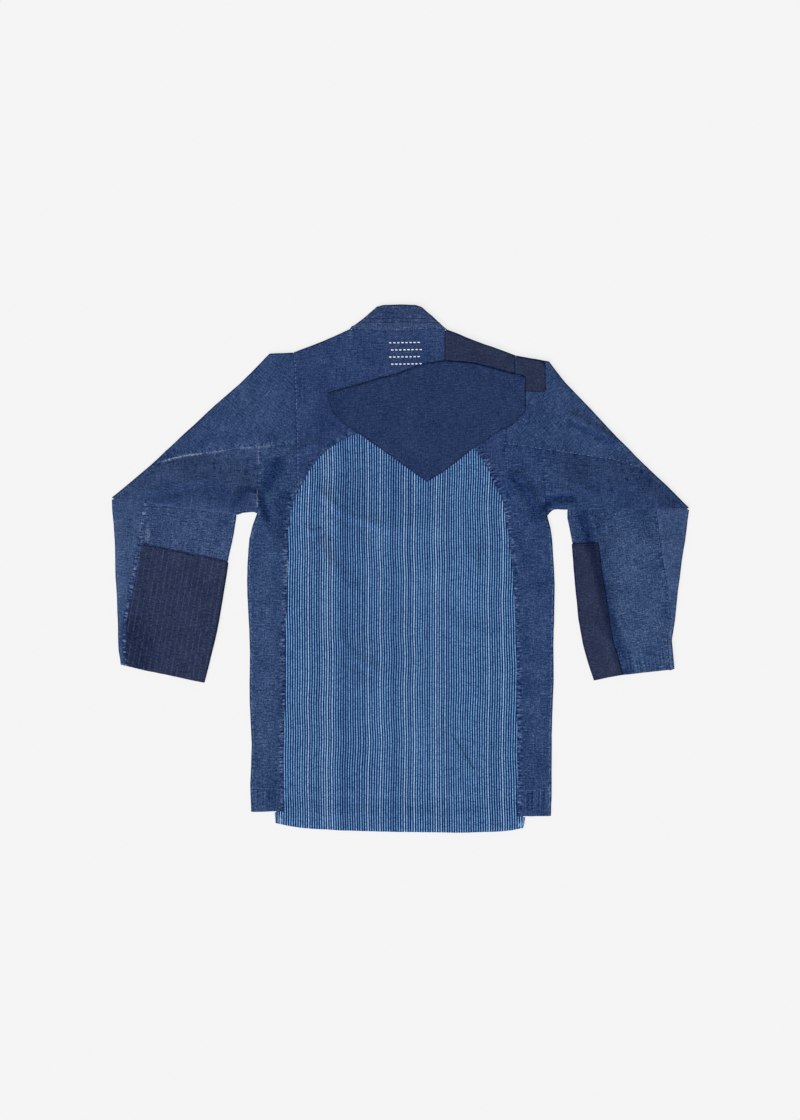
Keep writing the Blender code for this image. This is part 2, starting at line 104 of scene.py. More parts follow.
# %% Table
TABLE_HALF = 12.0
TABLE_DROP = -0.0002
TABLE_WHITE = 0.12
TABLE_GLOW = 0.79
table_mesh = bpy.data.meshes.new("table")
corners = [(x * TABLE_HALF, y * TABLE_HALF) for x, y in ((-1, -1), (1, -1), (1, 1), (-1, 1))]
table_mesh.from_pydata([(x, y, TABLE_DROP) for x, y in corners], [], [(0, 1, 2, 3)])
table = bpy.data.objects.new("table", table_mesh)
bpy.context.scene.collection.objects.link(table)
table_material = bpy.data.materials.new("table")
table_material.use_nodes = True
table_shader = table_material.node_tree.nodes["Principled BSDF"]
table_shader.inputs["Base Color"].default_value = (TABLE_WHITE, TABLE_WHITE, TABLE_WHITE, 1)
table_shader.inputs["Roughness"].default_value = 0.9
table_shader.inputs["Specular IOR Level"].default_value = 0.0
table_shader.inputs["Emission Color"].default_value = (1, 1, 1, 1)
table_shader.inputs["Emission Strength"].default_value = TABLE_GLOW
table_mesh.materials.append(table_material)
print("table in metres:", TABLE_HALF * 2)

# %% Light
KEY_FROM = Vector((-0.5, -1.0, 0.72))
KEY_POWER = 3.4
KEY_SPREAD = math.radians(30)
ROOM_POWER = 0.42
key_data = bpy.data.lights.new("key", "SUN")
key_data.energy = KEY_POWER
key_data.angle = KEY_SPREAD
key = bpy.data.objects.new("key", key_data)
key.rotation_mode = "QUATERNION"
key.rotation_quaternion = (-KEY_FROM).to_track_quat("-Z", "Y")
bpy.context.scene.collection.objects.link(key)
world = bpy.data.worlds.new("studio")
world.use_nodes = True
room = world.node_tree.nodes["Background"]
room.inputs["Color"].default_value = (1, 1, 1, 1)
room.inputs["Strength"].default_value = ROOM_POWER
bpy.context.scene.world = world
bpy.context.scene.view_settings.view_transform = "Standard"
print("key light from:", tuple(round(c, 2) for c in KEY_FROM))

# %% [markdown]
# ## Seams as lines on the plan
#
# A sewn seam pulls its two cloths together, so it lies in a shallow dip with puckers across it,
# and the raised bits rub pale. Every seam that shows is written down once as a line, with how
# hard it puckers. The shells, the materials and the stitches all read the same table.

# %% Seam lines
# A pucker's height and pitch are in millimetres. Rope says how strongly the puckers rub pale on each
# side of the line, with painted shade in the hollows between them, within its width: first the side
# that is on the left hand when the line is seen running down the page, then the other one.
Seam = namedtuple("Seam", "name pucker pitch rope width line")
SEAMS = (
    Seam("armhole_left", 0.45, 7, (0.05, 0.5), 6, ((-168, 35), (-163, 178), (-163, 253))),
    Seam("armhole_right", 0.4, 9, (0.3, 0.0), 6, ((177, 39), (168, 110), (160, 177), (155, 259))),
    Seam("stripe_left", 0.5, 7.6, (1.0, 0.0), 11, (
        (-163, 253), (-169, 267), (-173, 287), (-177, 318), (-177, 356), (-178, 418), (-181, 480),
        (-181, 558), (-183, 636), (-184, 746),
    )),
    Seam("stripe_right", 0.5, 7.6, (0.0, 1.0), 13, (
        (155, 259), (160, 287), (167, 333), (171, 372), (174, 418), (177, 480), (178, 604),
        (179, 753),
    )),
    Seam("arch_left", 0.35, 7, (0.0, 0.7), 9, (
        (-163, 253), (-155, 240), (-140, 211), (-118, 187), (-91, 169), (-68, 159),
    )),
    Seam("arch_right", 0.35, 7, (0.0, 1.0), 14, (
        (93, 164), (115, 186), (133, 214), (144, 239), (155, 259),
    )),
    Seam("sleeve_left", 0.4, 9, (0.5, 0.15), 13, (
        (-163, 178), (-223, 182), (-251, 184), (-290, 190), (-339, 196), (-375, 206),
    )),
    Seam("sleeve_right", 0.35, 9, (0.25, 0.3), 10, (
        (160, 177), (198, 182), (215, 185), (239, 188), (284, 195), (330, 202), (374, 216),
    )),
    Seam("gusset_left", 0.4, 8, (0.4, 0.35), 9, ((-223, 182), (-225, 284))),
    Seam("gusset_right", 0.4, 8, (0.2, 0.45), 13, ((215, 185), (225, 288))),
    Seam("forearm_left", 0.4, 7, (0.0, 0.95), 12, (
        (-401, 268), (-406, 305), (-410, 332), (-421, 388), (-431, 447), (-433, 494), (-430, 520),
    )),
    Seam("forearm_right", 0.3, 8, (0.45, 0.1), 9, (
        (394, 279), (397, 305), (400, 332), (405, 366), (412, 403), (416, 448), (411, 480),
        (415, 526),
    )),
    Seam("neck", 0.12, 9, (0.0, 0.45), 6, (
        (-79, -2), (-62, -1), (-46, 0), (-28, 1), (-3, 2), (18, 1), (34, -1), (52, -1), (68, -1),
    )),
)
# Turned hems: stitched lines near an edge, where the cloth is doubled and wears in bars
HEMS = (
    Seam("hem_stripe", 0.12, 9, (0.25, 0.1), 8, ((-184, 721), (-60, 720), (60, 722), (179, 722))),
    Seam("hem_side_left", 0.25, 9, (0.6, 0.15), 40, ((-240, 710), (-184, 710))),
    Seam("hem_side_right", 0.25, 9, (0.6, 0.15), 40, ((179, 714), (236, 714))),
    Seam("hem_cuff_right", 0.3, 9, (0.5, 0.2), 22, ((346, 514), (372, 510), (424, 502))),
)
SEAM_LINES = {seam.name: seam.line for seam in SEAMS}


def line_distance(x, y, line):
    """Distance from plan points to a line, how far along it, and on which side of it."""
    away = np.full(x.shape, 1e9)
    run = np.zeros(x.shape)
    left = np.zeros(x.shape, bool)
    before = 0.0
    for (ax, ay), (bx, by) in zip(line, line[1:]):
        dx, dy = bx - ax, by - ay
        length = math.hypot(dx, dy)
        t = np.clip(((x - ax) * dx + (y - ay) * dy) / length ** 2, 0, 1)
        d = np.hypot(x - ax - t * dx, y - ay - t * dy)
        nearer = d < away
        away = np.where(nearer, d, away)
        run = np.where(nearer, before + t * length, run)
        left = np.where(nearer, dx * (y - ay) - dy * (x - ax) > 0, left)
        before += length
    return away, run, left


print("seams:", len(SEAMS), "hems:", len(HEMS))

# %% [markdown]
# ## Relief of the cloth
#
# Nobody irons an old jacket. Underarms bunch, panels ripple, and every seam puckers. All of it is one
# height field over the plan, so that cloth lying on cloth follows what is below it. The main creases
# are listed, a gentle unevenness comes from smoothed random heights, and the seams add their dip and
# their puckers. The bottom layer lies on the table and keeps flat.

# %% Creases
Crease = namedtuple("Crease", "height width line")
CREASES = (
    Crease(2.2, 7, ((-256, 258), (-240, 247), (-222, 240))),
    Crease(-1.0, 7, ((-251, 266), (-245, 250), (-226, 245))),
    Crease(2.0, 8, ((-229, 252), (-210, 300), (-198, 348))),
    Crease(-1.0, 9, ((-220, 254), (-214, 274), (-206, 300))),
    Crease(1.6, 8, ((-201, 212), (-177, 200), (-133, 175))),
    Crease(-0.9, 9, ((-192, 209), (-203, 225), (-209, 240))),
    Crease(1.2, 8, ((-184, 208), (-194, 228), (-198, 246))),
    Crease(1.8, 10, ((-127, 250), (-96, 281), (-40, 302))),
    Crease(-0.7, 8, ((-130, 262), (-100, 292), (-44, 312))),
    Crease(1.3, 8, ((-140, 312), (-112, 361))),
    Crease(-0.6, 7, ((-146, 316), (-118, 366))),
    Crease(1.6, 11, ((-96, 473), (-81, 504), (-40, 529))),
    Crease(-0.7, 9, ((-100, 484), (-86, 514), (-46, 540))),
    Crease(1.2, 7, ((102, 343), (109, 355))),
    Crease(1.3, 9, ((-406, 250), (-363, 243), (-307, 231))),
    Crease(-0.8, 8, ((-390, 260), (-350, 254), (-300, 243))),
    Crease(2.0, 9, ((262, 131), (292, 150), (344, 178))),
    Crease(-0.9, 8, ((260, 144), (286, 158), (334, 183))),
    Crease(1.3, 8, ((251, 232), (295, 250))),
    Crease(-0.9, 8, ((226, 272), (233, 262), (262, 262))),
    Crease(1.8, 8, ((178, 224), (196, 242), (208, 270), (216, 296))),
    Crease(-1.0, 8, ((168, 224), (184, 242), (198, 268), (206, 296))),
    Crease(1.4, 8, ((230, 250), (243, 247), (266, 252))),
    Crease(1.6, 10, ((296, 290), (318, 380), (326, 460), (350, 529))),
    Crease(-1.0, 9, ((284, 290), (304, 375), (313, 455), (337, 529))),
    Crease(1.1, 7, ((301, 460), (326, 485))),
    Crease(0.9, 7, ((-431, 473), (-406, 498))),
    Crease(0.9, 8, ((180, 101), (192, 126))),
    Crease(1.0, 5, ((369, 371), (404, 370))),
    Crease(0.9, 14, ((-60, 330), (-30, 420), (-46, 520))),
    Crease(1.0, 15, ((60, 380), (84, 470), (70, 600))),
    Crease(-0.6, 16, ((10, 420), (18, 560), (0, 690))),
    Crease(0.9, 14, ((-130, 600), (-96, 690), (-104, 750))),
    Crease(0.8, 12, ((120, 560), (132, 650), (120, 740))),
    Crease(0.5, 8, ((-150, 716), (-60, 712), (40, 716), (140, 714))),
    Crease(0.9, 10, ((-230, 420), (-205, 470), (-200, 540))),
    Crease(0.8, 10, ((-222, 600), (-206, 660), (-212, 720))),
    Crease(0.9, 10, ((210, 400), (204, 470), (216, 540))),
    Crease(0.8, 10, ((222, 600), (206, 650), (204, 720))),
    Crease(0.8, 10, ((-320, 110), (-290, 140), (-250, 150))),
    Crease(0.6, 10, ((-120, 60), (-90, 88), (-100, 120))),
    Crease(0.7, 10, ((-330, 290), (-318, 340), (-330, 400))),
    Crease(0.6, 9, ((360, 300), (372, 360), (368, 420))),
)
print("creases:", len(CREASES))

# %% Height field
# Random heights: the cell and the height in millimetres, and a seed
ROUGH_HEIGHTS = ((70, 0.6, 11), (26, 0.32, 12), (11, 0.14, 13))
RANDOM_GRID = 160
GRID_CORNER = (-600, -200)
CREASE_FOOT = 1.25
CREASE_POWER = 1.3
PUCKER_WIDTH = 11.0
PUCKER_WANDER = 2.2
SEAM_DIP = 0.3
SEAM_DIP_WIDTH = 4.5
NO_DIP = ("neck",)
LOWEST_DIP = -0.8
HIGHEST_CREASE = 2.6


def smooth_step(t):
    t = np.clip(t, 0, 1)
    return t * t * (3 - 2 * t)


def random_heights(x, y, cell, seed):
    """Smoothed random heights from -1 to 1, one for each crossing of a grid of that cell."""
    field = np.random.default_rng(seed).uniform(-1, 1, (RANDOM_GRID, RANDOM_GRID))
    u, v = (x - GRID_CORNER[0]) / cell, (y - GRID_CORNER[1]) / cell
    i, j = np.floor(u).astype(int), np.floor(v).astype(int)
    s, t = smooth_step(u - i), smooth_step(v - j)
    i, j = i % (RANDOM_GRID - 1), j % (RANDOM_GRID - 1)
    top = field[i, j] * (1 - s) + field[i + 1, j] * s
    bottom = field[i, j + 1] * (1 - s) + field[i + 1, j + 1] * s
    return top * (1 - t) + bottom * t


def relief(x, y):
    """Height added to the top layers at plan points, in millimetres."""
    height = np.zeros(x.shape)
    for cell, size, seed in ROUGH_HEIGHTS:
        height += size * random_heights(x, y, cell, seed)
    for crease in CREASES:
        away, _, _ = line_distance(x, y, crease.line)
        share = smooth_step(1 - away / (crease.width * CREASE_FOOT))
        height += crease.height * share ** CREASE_POWER
    for number, seam in enumerate(SEAMS + HEMS):
        away, run, _ = line_distance(x, y, seam.line)
        wander = PUCKER_WANDER * random_heights(run, x * 0 + number * 40, 18, 21)
        wave = np.sin(2 * np.pi * run / seam.pitch + wander)
        strength = 0.6 + 0.4 * random_heights(run, x * 0 + number * 30, 30, 22)
        height += seam.pucker * strength * wave * smooth_step(1 - away / PUCKER_WIDTH)
        if seam.name not in NO_DIP:
            height -= SEAM_DIP * smooth_step(1 - away / SEAM_DIP_WIDTH)
    return np.clip(height, LOWEST_DIP, HIGHEST_CREASE)


probe = np.array([-40.0, 0.0, 170.0]), np.array([302.0, 420.0, 300.0])
print("relief at three places:", np.round(relief(*probe), 2))

# %% [markdown]
# ## Shells for the sewn pieces
#
# A solid's mesh is coarse triangles, which is right for a solid and too plain for cloth. A copy
# is merged, its pairs of triangles are joined to quads, and it is cut by two sets of planes into
# squares less than four millimetres wide. Then the points are smoothed and take the relief. A
# shell made from the solid's own faces stays where the solid is, round the folds too.

# %% Rims and folds of a solid
UPPER_FROM = 2.95
RIM_TURN = 1.2
FOLD_TURN = 0.3
FLAT_FACE = 0.6
SAMPLE_STEP = 0.002
REACH_CAP = 40.0


def merged_copy(name):
    mesh = bmesh.new()
    mesh.from_mesh(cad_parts[name].data)
    bmesh.ops.remove_doubles(mesh, verts=mesh.verts, dist=1e-5)
    return mesh


def is_rim(edge):
    """True on a cut rim, where the face of the cloth turns square."""
    if len(edge.link_faces) != 2 or edge.calc_face_angle(0) <= RIM_TURN:
        return False
    return max(abs(face.normal.z) for face in edge.link_faces) > FLAT_FACE


def is_fold(edge):
    """True on the round of a fold, where the cloth turns little by little."""
    if len(edge.link_faces) != 2 or not FOLD_TURN < edge.calc_face_angle(0) <= RIM_TURN:
        return False
    return min(abs(face.normal.z) for face in edge.link_faces) < FLAT_FACE


def edge_samples(mesh):
    """Points along a merged solid's edges: the cut rims of both layers, and the folds."""
    samples = {"upper rim": [], "lower rim": [], "fold": []}
    mesh.normal_update()
    for edge in mesh.edges:
        a, b = (v.co for v in edge.verts)
        if is_rim(edge):
            kind = "upper rim" if (a.z + b.z) * 500 > UPPER_FROM else "lower rim"
        elif is_fold(edge):
            kind = "fold"
        else:
            continue
        steps = max(1, int((b - a).length / SAMPLE_STEP))
        samples[kind] += [a.lerp(b, step / steps) for step in range(steps + 1)]
    return samples


def nearest(points, picked, samples):
    """Plan distance in millimetres from the picked points to the nearest sample."""
    found = np.full(len(points), REACH_CAP)
    if samples:
        tree = KDTree(len(samples))
        for number, sample in enumerate(samples):
            tree.insert((sample.x, sample.y, 0), number)
        tree.balance()
        for k in np.flatnonzero(picked):
            away = tree.find((points[k, 0], points[k, 1], 0))[2] * 1000
            found[k] = min(REACH_CAP, away)
    return found


yoke = merged_copy("yoke_patch")
print("yoke patch:", {kind: len(spots) for kind, spots in edge_samples(yoke).items()})
yoke.free()

# %% Cut into squares
FINE_STEP = 0.0037
SLAB_STEP = 0.012
CUT_OFFSET = 0.0003
SMOOTHING = 0.6


def cut_strips(mesh, faces, axis, first, last, step):
    """Cuts faces at plane numbers first to last, the middle one first, then each half."""
    if last < first or not faces:
        return
    middle = (first + last) // 2
    at, facing = [0, 0, 0], [0, 0, 0]
    at[axis], facing[axis] = middle * step + CUT_OFFSET, 1
    edges = list({edge for face in faces for edge in face.edges})
    verts = list({vert for face in faces for vert in face.verts})
    made = bmesh.ops.bisect_plane(
        mesh, geom=verts + edges + faces, plane_co=at, plane_no=facing, dist=1e-6,
    )
    halves = {False: [], True: []}
    for face in made["geom"]:
        if isinstance(face, bmesh.types.BMFace):
            halves[face.calc_center_median()[axis] > at[axis]].append(face)
    cut_strips(mesh, halves[False], axis, first, middle - 1, step)
    cut_strips(mesh, halves[True], axis, middle + 1, last, step)


def cut_squares(mesh, step):
    """Cuts the whole piece into squares, which keeps it closed round its rims."""
    for axis in (0, 1):
        spread = [vert.co[axis] for vert in mesh.verts]
        first, last = int(min(spread) / step) - 1, int(max(spread) / step) + 1
        cut_strips(mesh, mesh.faces[:], axis, first, last, step)


def rim_points(mesh):
    """Numbers of the points on a piece's cut rims."""
    mesh.normal_update()
    mesh.verts.index_update()
    return sorted({vert.index for edge in mesh.edges if is_rim(edge) for vert in edge.verts})


def smoothed_heights(points, edges, free, rounds):
    """Heights with each free point drawn towards the mean of its neighbours."""
    height = points[:, 2].copy()
    count = np.bincount(edges.ravel(), minlength=len(points))
    for _ in range(rounds):
        total = np.bincount(edges[:, 0], height[edges[:, 1]], len(points))
        total += np.bincount(edges[:, 1], height[edges[:, 0]], len(points))
        mean = total / np.maximum(count, 1)
        height = np.where(free, height * (1 - SMOOTHING) + mean * SMOOTHING, height)
    return height


print("squares of the fine mesh in mm:", FINE_STEP * 1000)

# %% [markdown]
# ## Rounded folds at the elbows
#
# The sleeve is folded over at the elbow, so its upper part ends in a soft roll that lies on the
# forearm. The solid ends there in a plain cut. Its cut face is drawn out step by step along a
# half circle and a little way back underneath, which keeps the shell closed and the cloth one
# thickness round the roll. Where the upper sleeve comes down to the forearm the roll shrinks.

# %% Elbow roll
ELBOW_FOLDS = {
    "left": ((-450, 260), (-254, 285)),
    "right": ((445, 276), (253, 277)),
}
FOLD_NEAR = 0.002
UPRIGHT = 0.4
FACING = 0.8
ROLL_RADIUS = 1.6
ROLL_LIFT = 6.0
LEAST_ROLL = 0.06
ROLL_STEPS = 6
ROLL_RETURN = 5.0
FLAT_MIDDLE = 3.6
HALF_CLOTH = 0.5


def roll_elbow_edge(mesh, side):
    """Draws the cut face along the elbow's fold line out into a roll. Returns its face count."""
    (ax, ay), (bx, by) = (to_frame(*end) for end in ELBOW_FOLDS[side])
    along = Vector((bx - ax, by - ay, 0)).normalized()
    out = Vector((along.y, -along.x, 0))
    if out.y > 0:
        out = -out
    faces = []
    for face in mesh.faces:
        middle = face.calc_center_median()
        off = (middle - Vector((ax, ay, middle.z))).dot(out)
        upright = abs(face.normal.z) < UPRIGHT and face.normal.dot(out) > FACING
        if upright and abs(off) < FOLD_NEAR and middle.z * 1000 > UPPER_FROM:
            faces.append(face)
    if not faces:
        return 0
    pairs = {}
    for vert in {v for face in faces for v in face.verts}:
        pairs.setdefault((round(vert.co.x, 5), round(vert.co.y, 5)), []).append(vert.co.copy())
    count = 0
    for step in range(1, ROLL_STEPS + 2):
        turn = math.pi * min(step, ROLL_STEPS) / ROLL_STEPS
        back = ROLL_RETURN if step > ROLL_STEPS else 0.0
        new = bmesh.ops.extrude_face_region(mesh, geom=faces)["geom"]
        if step == 1:
            origin = {}
            for part in new:
                if isinstance(part, bmesh.types.BMVert):
                    spot = pairs[round(part.co.x, 5), round(part.co.y, 5)]
                    middle = sum(spot, Vector()) / len(spot)
                    origin[part] = (middle, 1 if part.co.z > middle.z else -1)
        else:
            moved = {}
            for part in new:
                if isinstance(part, bmesh.types.BMVert):
                    old = min(origin, key=lambda v: (v.co - part.co).length)
                    moved[part] = origin[old]
            origin = moved
        bmesh.ops.delete(mesh, geom=faces, context="FACES")
        faces = [part for part in new if isinstance(part, bmesh.types.BMFace)]
        for vert, (middle, way) in origin.items():
            lift = (middle.z * 1000 - FLAT_MIDDLE) / ROLL_LIFT
            radius = ROLL_RADIUS * min(1.0, max(LEAST_ROLL, lift)) / 1000
            half = min(HALF_CLOTH / 1000, radius * 0.9) * way
            side_way, up_way = math.sin(turn), math.cos(turn)
            place = middle + out * radius * side_way + Vector((0, 0, radius * (up_way - 1)))
            place += out * half * side_way + Vector((0, 0, half * up_way))
            vert.co = place - out * back * min(1.0, max(0.0, lift)) / 1000
        count += len(faces)
    return count


print("elbow folds:", sorted(ELBOW_FOLDS))

# %% [markdown]
# ## What the shells tell their materials
#
# A seam rubs pale, a patch has a line of painted shade round it and a fold's edge shows worn dots
# beside a line of painted shade. The materials can only know this from the mesh, so each point
# carries a few numbers: how far the nearest seam, cut rim and fold are, how far along its seam it
# lies, how roped it is there, how much paler by fading and darker by painted shade it is, and how
# worn through the cloth is. Fading and painted shade are laid in broad soft ovals.

# %% Fading, painted shade and bare spots
# Soft strokes within reach of a line: above zero, how much paler the cloth is by fading; below zero,
# how much darker, which is painted shade, mostly along crease hollows, in the underarms and at folded
# edges.
Fade = namedtuple("Fade", "amount reach line")
FADES_AND_PAINTED_SHADE = (
    Fade(0.5, 60, ((352, 350), (366, 500))),
    Fade(0.2, 70, ((290, 110), (330, 160))),
    Fade(0.3, 60, ((-340, 310), (-290, 330))),
    Fade(0.2, 60, ((-250, 110), (-230, 120))),
    Fade(-1.2, 14, ((-192, 209), (-203, 225), (-208, 240))),
    Fade(-1.3, 9, ((-222, 250), (-216, 270), (-210, 291))),
    Fade(-1.4, 6, ((-236, 246), (-224, 250))),
    Fade(-0.8, 11, ((-246, 250), (-252, 266))),
    Fade(-0.7, 16, ((-180, 262), (-186, 310))),
    Fade(-0.5, 18, ((-260, 262), (-300, 250), (-380, 258))),
    Fade(-0.8, 11, ((170, 223), (181, 238), (195, 250), (200, 264), (208, 290))),
    Fade(-1.4, 9, ((222, 276), (230, 264), (262, 262))),
    Fade(-0.8, 6, ((260, 144), (279, 153), (302, 164), (330, 176))),
    Fade(-1.2, 12, ((280, 290), (304, 366), (315, 420), (323, 450), (331, 484), (346, 531))),
    Fade(-0.7, 32, ((-418, 470), (-404, 500))),
    Fade(-0.6, 18, ((-60, 330), (-90, 290), (-126, 262))),
    Fade(-0.6, 14, ((-118, 366), (-132, 336))),
    Fade(-0.5, 24, ((-100, 484), (-86, 514), (-46, 540))),
    Fade(0.35, 22, ((-214, 380), (-210, 660))),
    Fade(-0.5, 10, ((-176, 735), (-40, 742), (120, 744), (176, 738))),
    Fade(-0.7, 14, ((-118, 330), (-96, 372), (-74, 392))),
    Fade(0.5, 18, ((-40, 322), (10, 316), (60, 318))),
    Fade(-0.5, 16, ((60, 430), (100, 452), (140, 462))),
    Fade(0.25, 20, ((212, 420), (214, 640))),
    Fade(0.25, 9, ((-60, -7), (58, -7))),
    Fade(-0.6, 7, ((-60, -41), (58, -42))),
    Fade(-0.4, 5, ((-60, -27), (52, -28))),
    Fade(0.2, 12, ((-66, 8), (62, 8))),
    Fade(0.2, 80, ((0, 600), (30, 650))),
    Fade(0.25, 50, ((60, 400), (100, 440))),
    Fade(-0.25, 70, ((-60, 250), (20, 280))),
    Fade(0.3, 12, ((-440, 300), (-436, 420))),
    Fade(0.3, 14, ((-300, 187), (-210, 178))),
    Fade(-0.3, 26, ((-110, 140), (-100, 110))),
)
# Threads rubbed through to white, on top of puckers and folds
Bare = namedtuple("Bare", "amount radius line")
BARES = (
    Bare(0.85, 3.0, ((-361, 203), (-344, 199), (-326, 195), (-313, 193))),
    Bare(0.5, 3.0, ((-368, 204), (-360, 202))),
    Bare(0.35, 6.0, ((-400, 307), (-397, 320))),
    Bare(0.3, 3.0, ((-246, 183), (-232, 182))),
    Bare(0.25, 3.0, ((-222, 182), (-206, 181))),
    Bare(0.35, 3.0, ((-300, 191), (-276, 188))),
    Bare(0.3, 3.0, ((-223, 190), (-223, 206))),
    Bare(0.35, 3.0, ((-225, 250), (-225, 270))),
    Bare(0.4, 3.0, ((-178, 360), (-179, 380))),
    Bare(0.6, 3.0, ((-190, 752), (-188, 762))),
    Bare(0.6, 3.0, ((185, 757), (184.5, 767))),
)

# %% Rims tucked under at the seams
BOTTOM_LIFT = 0.3
LEAST_EASE = 0.3

# At a seam one cloth ends under the other: pieces, line, how near, how far under, how much
# lower. A forearm goes further in, straight towards the collar, and less near the elbow's tip.
Tuck = namedtuple("Tuck", "pieces line near under lower ease", defaults=(0,))
TUCKS = [
    Tuck(("shoulder_patch",), SEAM_LINES["armhole_right"], 1.6, 1.0, 0.3),
    Tuck(("collar_back",), SEAM_LINES["neck"], 3.0, 1.7, 0.9),
    Tuck(("forearm_outer_left", "forearm_inner_left"), ELBOW_FOLDS["left"], 4.5, 7.0, 1.2, 12),
    Tuck(("forearm_outer_right", "forearm_inner_right"), ELBOW_FOLDS["right"], 4.5, 7.0, 1.2, 12),
]
for side in ("left", "right"):
    armhole = SEAM_LINES["armhole_" + side]
    sleeve = SEAM_LINES["sleeve_" + side] + (ELBOW_FOLDS[side][0],)
    body = ("top_sleeve_" + side, "side_panel_" + side, "under_sleeve_" + side)
    TUCKS += [
        Tuck(body[:2], armhole, 1.2, 1.2, 0.6),
        Tuck(body[1:2], SEAM_LINES["stripe_" + side], 1.2, 1.2, 0.5),
        Tuck(("back_stripe_panel",), SEAM_LINES["arch_" + side], 1.2, 1.2, 0.5),
        Tuck(body[1:], sleeve, 1.2, 1.2, 0.5),
        Tuck(body[2:], SEAM_LINES["gusset_" + side], 1.2, 1.2, 0.5),
        Tuck(("forearm_outer_" + side,), SEAM_LINES["forearm_" + side], 1.2, 1.2, 0.5),
    ]


def tuck_under(name, points, out_x, out_y, on_rim, upper, x, y):
    """Moves a piece's seam rims a little under their neighbours. Returns the rims still free."""
    free = on_rim.copy()
    for tuck in TUCKS:
        if name in tuck.pieces:
            away, run, _ = line_distance(x, y, tuck.line)
            here = free & (away < tuck.near)
            under = tuck.under / 1000 * (np.clip(run / tuck.ease, LEAST_EASE, 1) if tuck.ease else 1)
            points[:, 0] += np.where(here, 0 if tuck.ease else out_x * under, 0)
            points[:, 1] += np.where(here, under if tuck.ease else out_y * under, 0)
            points[:, 2] -= np.where(here & upper, tuck.lower / 1000, 0)
            points[:, 2] += np.where(here & ~upper, BOTTOM_LIFT / 1000, 0)
            free &= ~here
    return free


print("kinds of tucked rim:", len(TUCKS))

# %% Seams, fading, painted shade and wear at each point
PUCKER_BEAT = 7.5
RUN_GAP = 777
# The soft edges of a rope, of the strokes of fading and painted shade, and of a bare spot, as a share
# of their reach
ROPE_EDGE = 1.15
FADE_AND_SHADE_EDGE = 1.2
BARE_EDGE = 1.6


def new_attribute(mesh, name, values):
    layer = mesh.attributes.new(name, "FLOAT", "POINT")
    layer.data.foreach_set("value", np.asarray(values, np.float32))


def rope_and_run(x, y):
    """How roped the cloth is at plan points, how far along the seam, and the seam's distance."""
    rope, run_there = np.zeros(x.shape), np.zeros(x.shape)
    seam_away = np.full(x.shape, REACH_CAP)
    for number, seam in enumerate(SEAMS + HEMS):
        away, run, left = line_distance(x, y, seam.line)
        here = np.where(left, seam.rope[0], seam.rope[1]) * smooth_step(ROPE_EDGE - away / seam.width)
        stronger = here > rope
        rope = np.where(stronger, here, rope)
        run_here = run * PUCKER_BEAT / seam.pitch + number * RUN_GAP
        run_there = np.where(stronger, run_here, run_there)
        if seam in SEAMS:
            seam_away = np.minimum(seam_away, away)
    return rope, run_there, seam_away


def fade_shade_and_bare(x, y):
    """How much paler by fading and darker by painted shade the cloth is at plan points, and how much
    of it is rubbed through to white.
    """
    fade, bare = np.zeros(x.shape), np.zeros(x.shape)
    for stroke in FADES_AND_PAINTED_SHADE:
        away, _, _ = line_distance(x, y, stroke.line)
        fade += stroke.amount * smooth_step(FADE_AND_SHADE_EDGE - away / stroke.reach)
    for stroke in BARES:
        away, _, _ = line_distance(x, y, stroke.line)
        bare = np.maximum(bare, stroke.amount * smooth_step(BARE_EDGE - away / stroke.radius))
    return fade, bare


print("strokes of fading and painted shade:", len(FADES_AND_PAINTED_SHADE), "and of bare threads:", len(BARES))

# %% Shell of one piece
SLABS = ("front_left", "front_right", "front_band_left", "front_band_right",
         "elbow_tuck_left", "elbow_tuck_right")
ROLLED = ("top_sleeve_left", "top_sleeve_right", "under_sleeve_left", "under_sleeve_right")
PATCHES = ("yoke_patch", "shoulder_patch", "sleeve_head_patch", "cuff_patch_left",
           "cuff_patch_right")
RELIEF_FROM = 1.2
RELIEF_FULL = 3.0
# A slow and a quick sideways wobble: the cell and the size in millimetres, and a seed
WOBBLE = ((34, 0.6, 31), (9, 0.15, 33))
SMOOTH_ROUNDS = 10
SMOOTH_FROM_RIM = 1.5
LEVEL = 0.93
RIM_NEAR = 1.2
FOLD_CLEAR = 0.9
SIDEWAYS = 0.3
RIM_SPREAD = 0.18
RIM_ROUND = 0.14
HARD_RIM = math.radians(50)
ONE_FACE = math.radians(2)
PAIR_BEND = math.radians(35)
PAIR_SHAPE = math.radians(75)
def columns(mesh, name, size):
    """A number that every point has, such as its place, as an array with one row for each."""
    values = np.empty(len(mesh.vertices) * size)
    mesh.vertices.foreach_get(name, values)
    return values.reshape(-1, size)


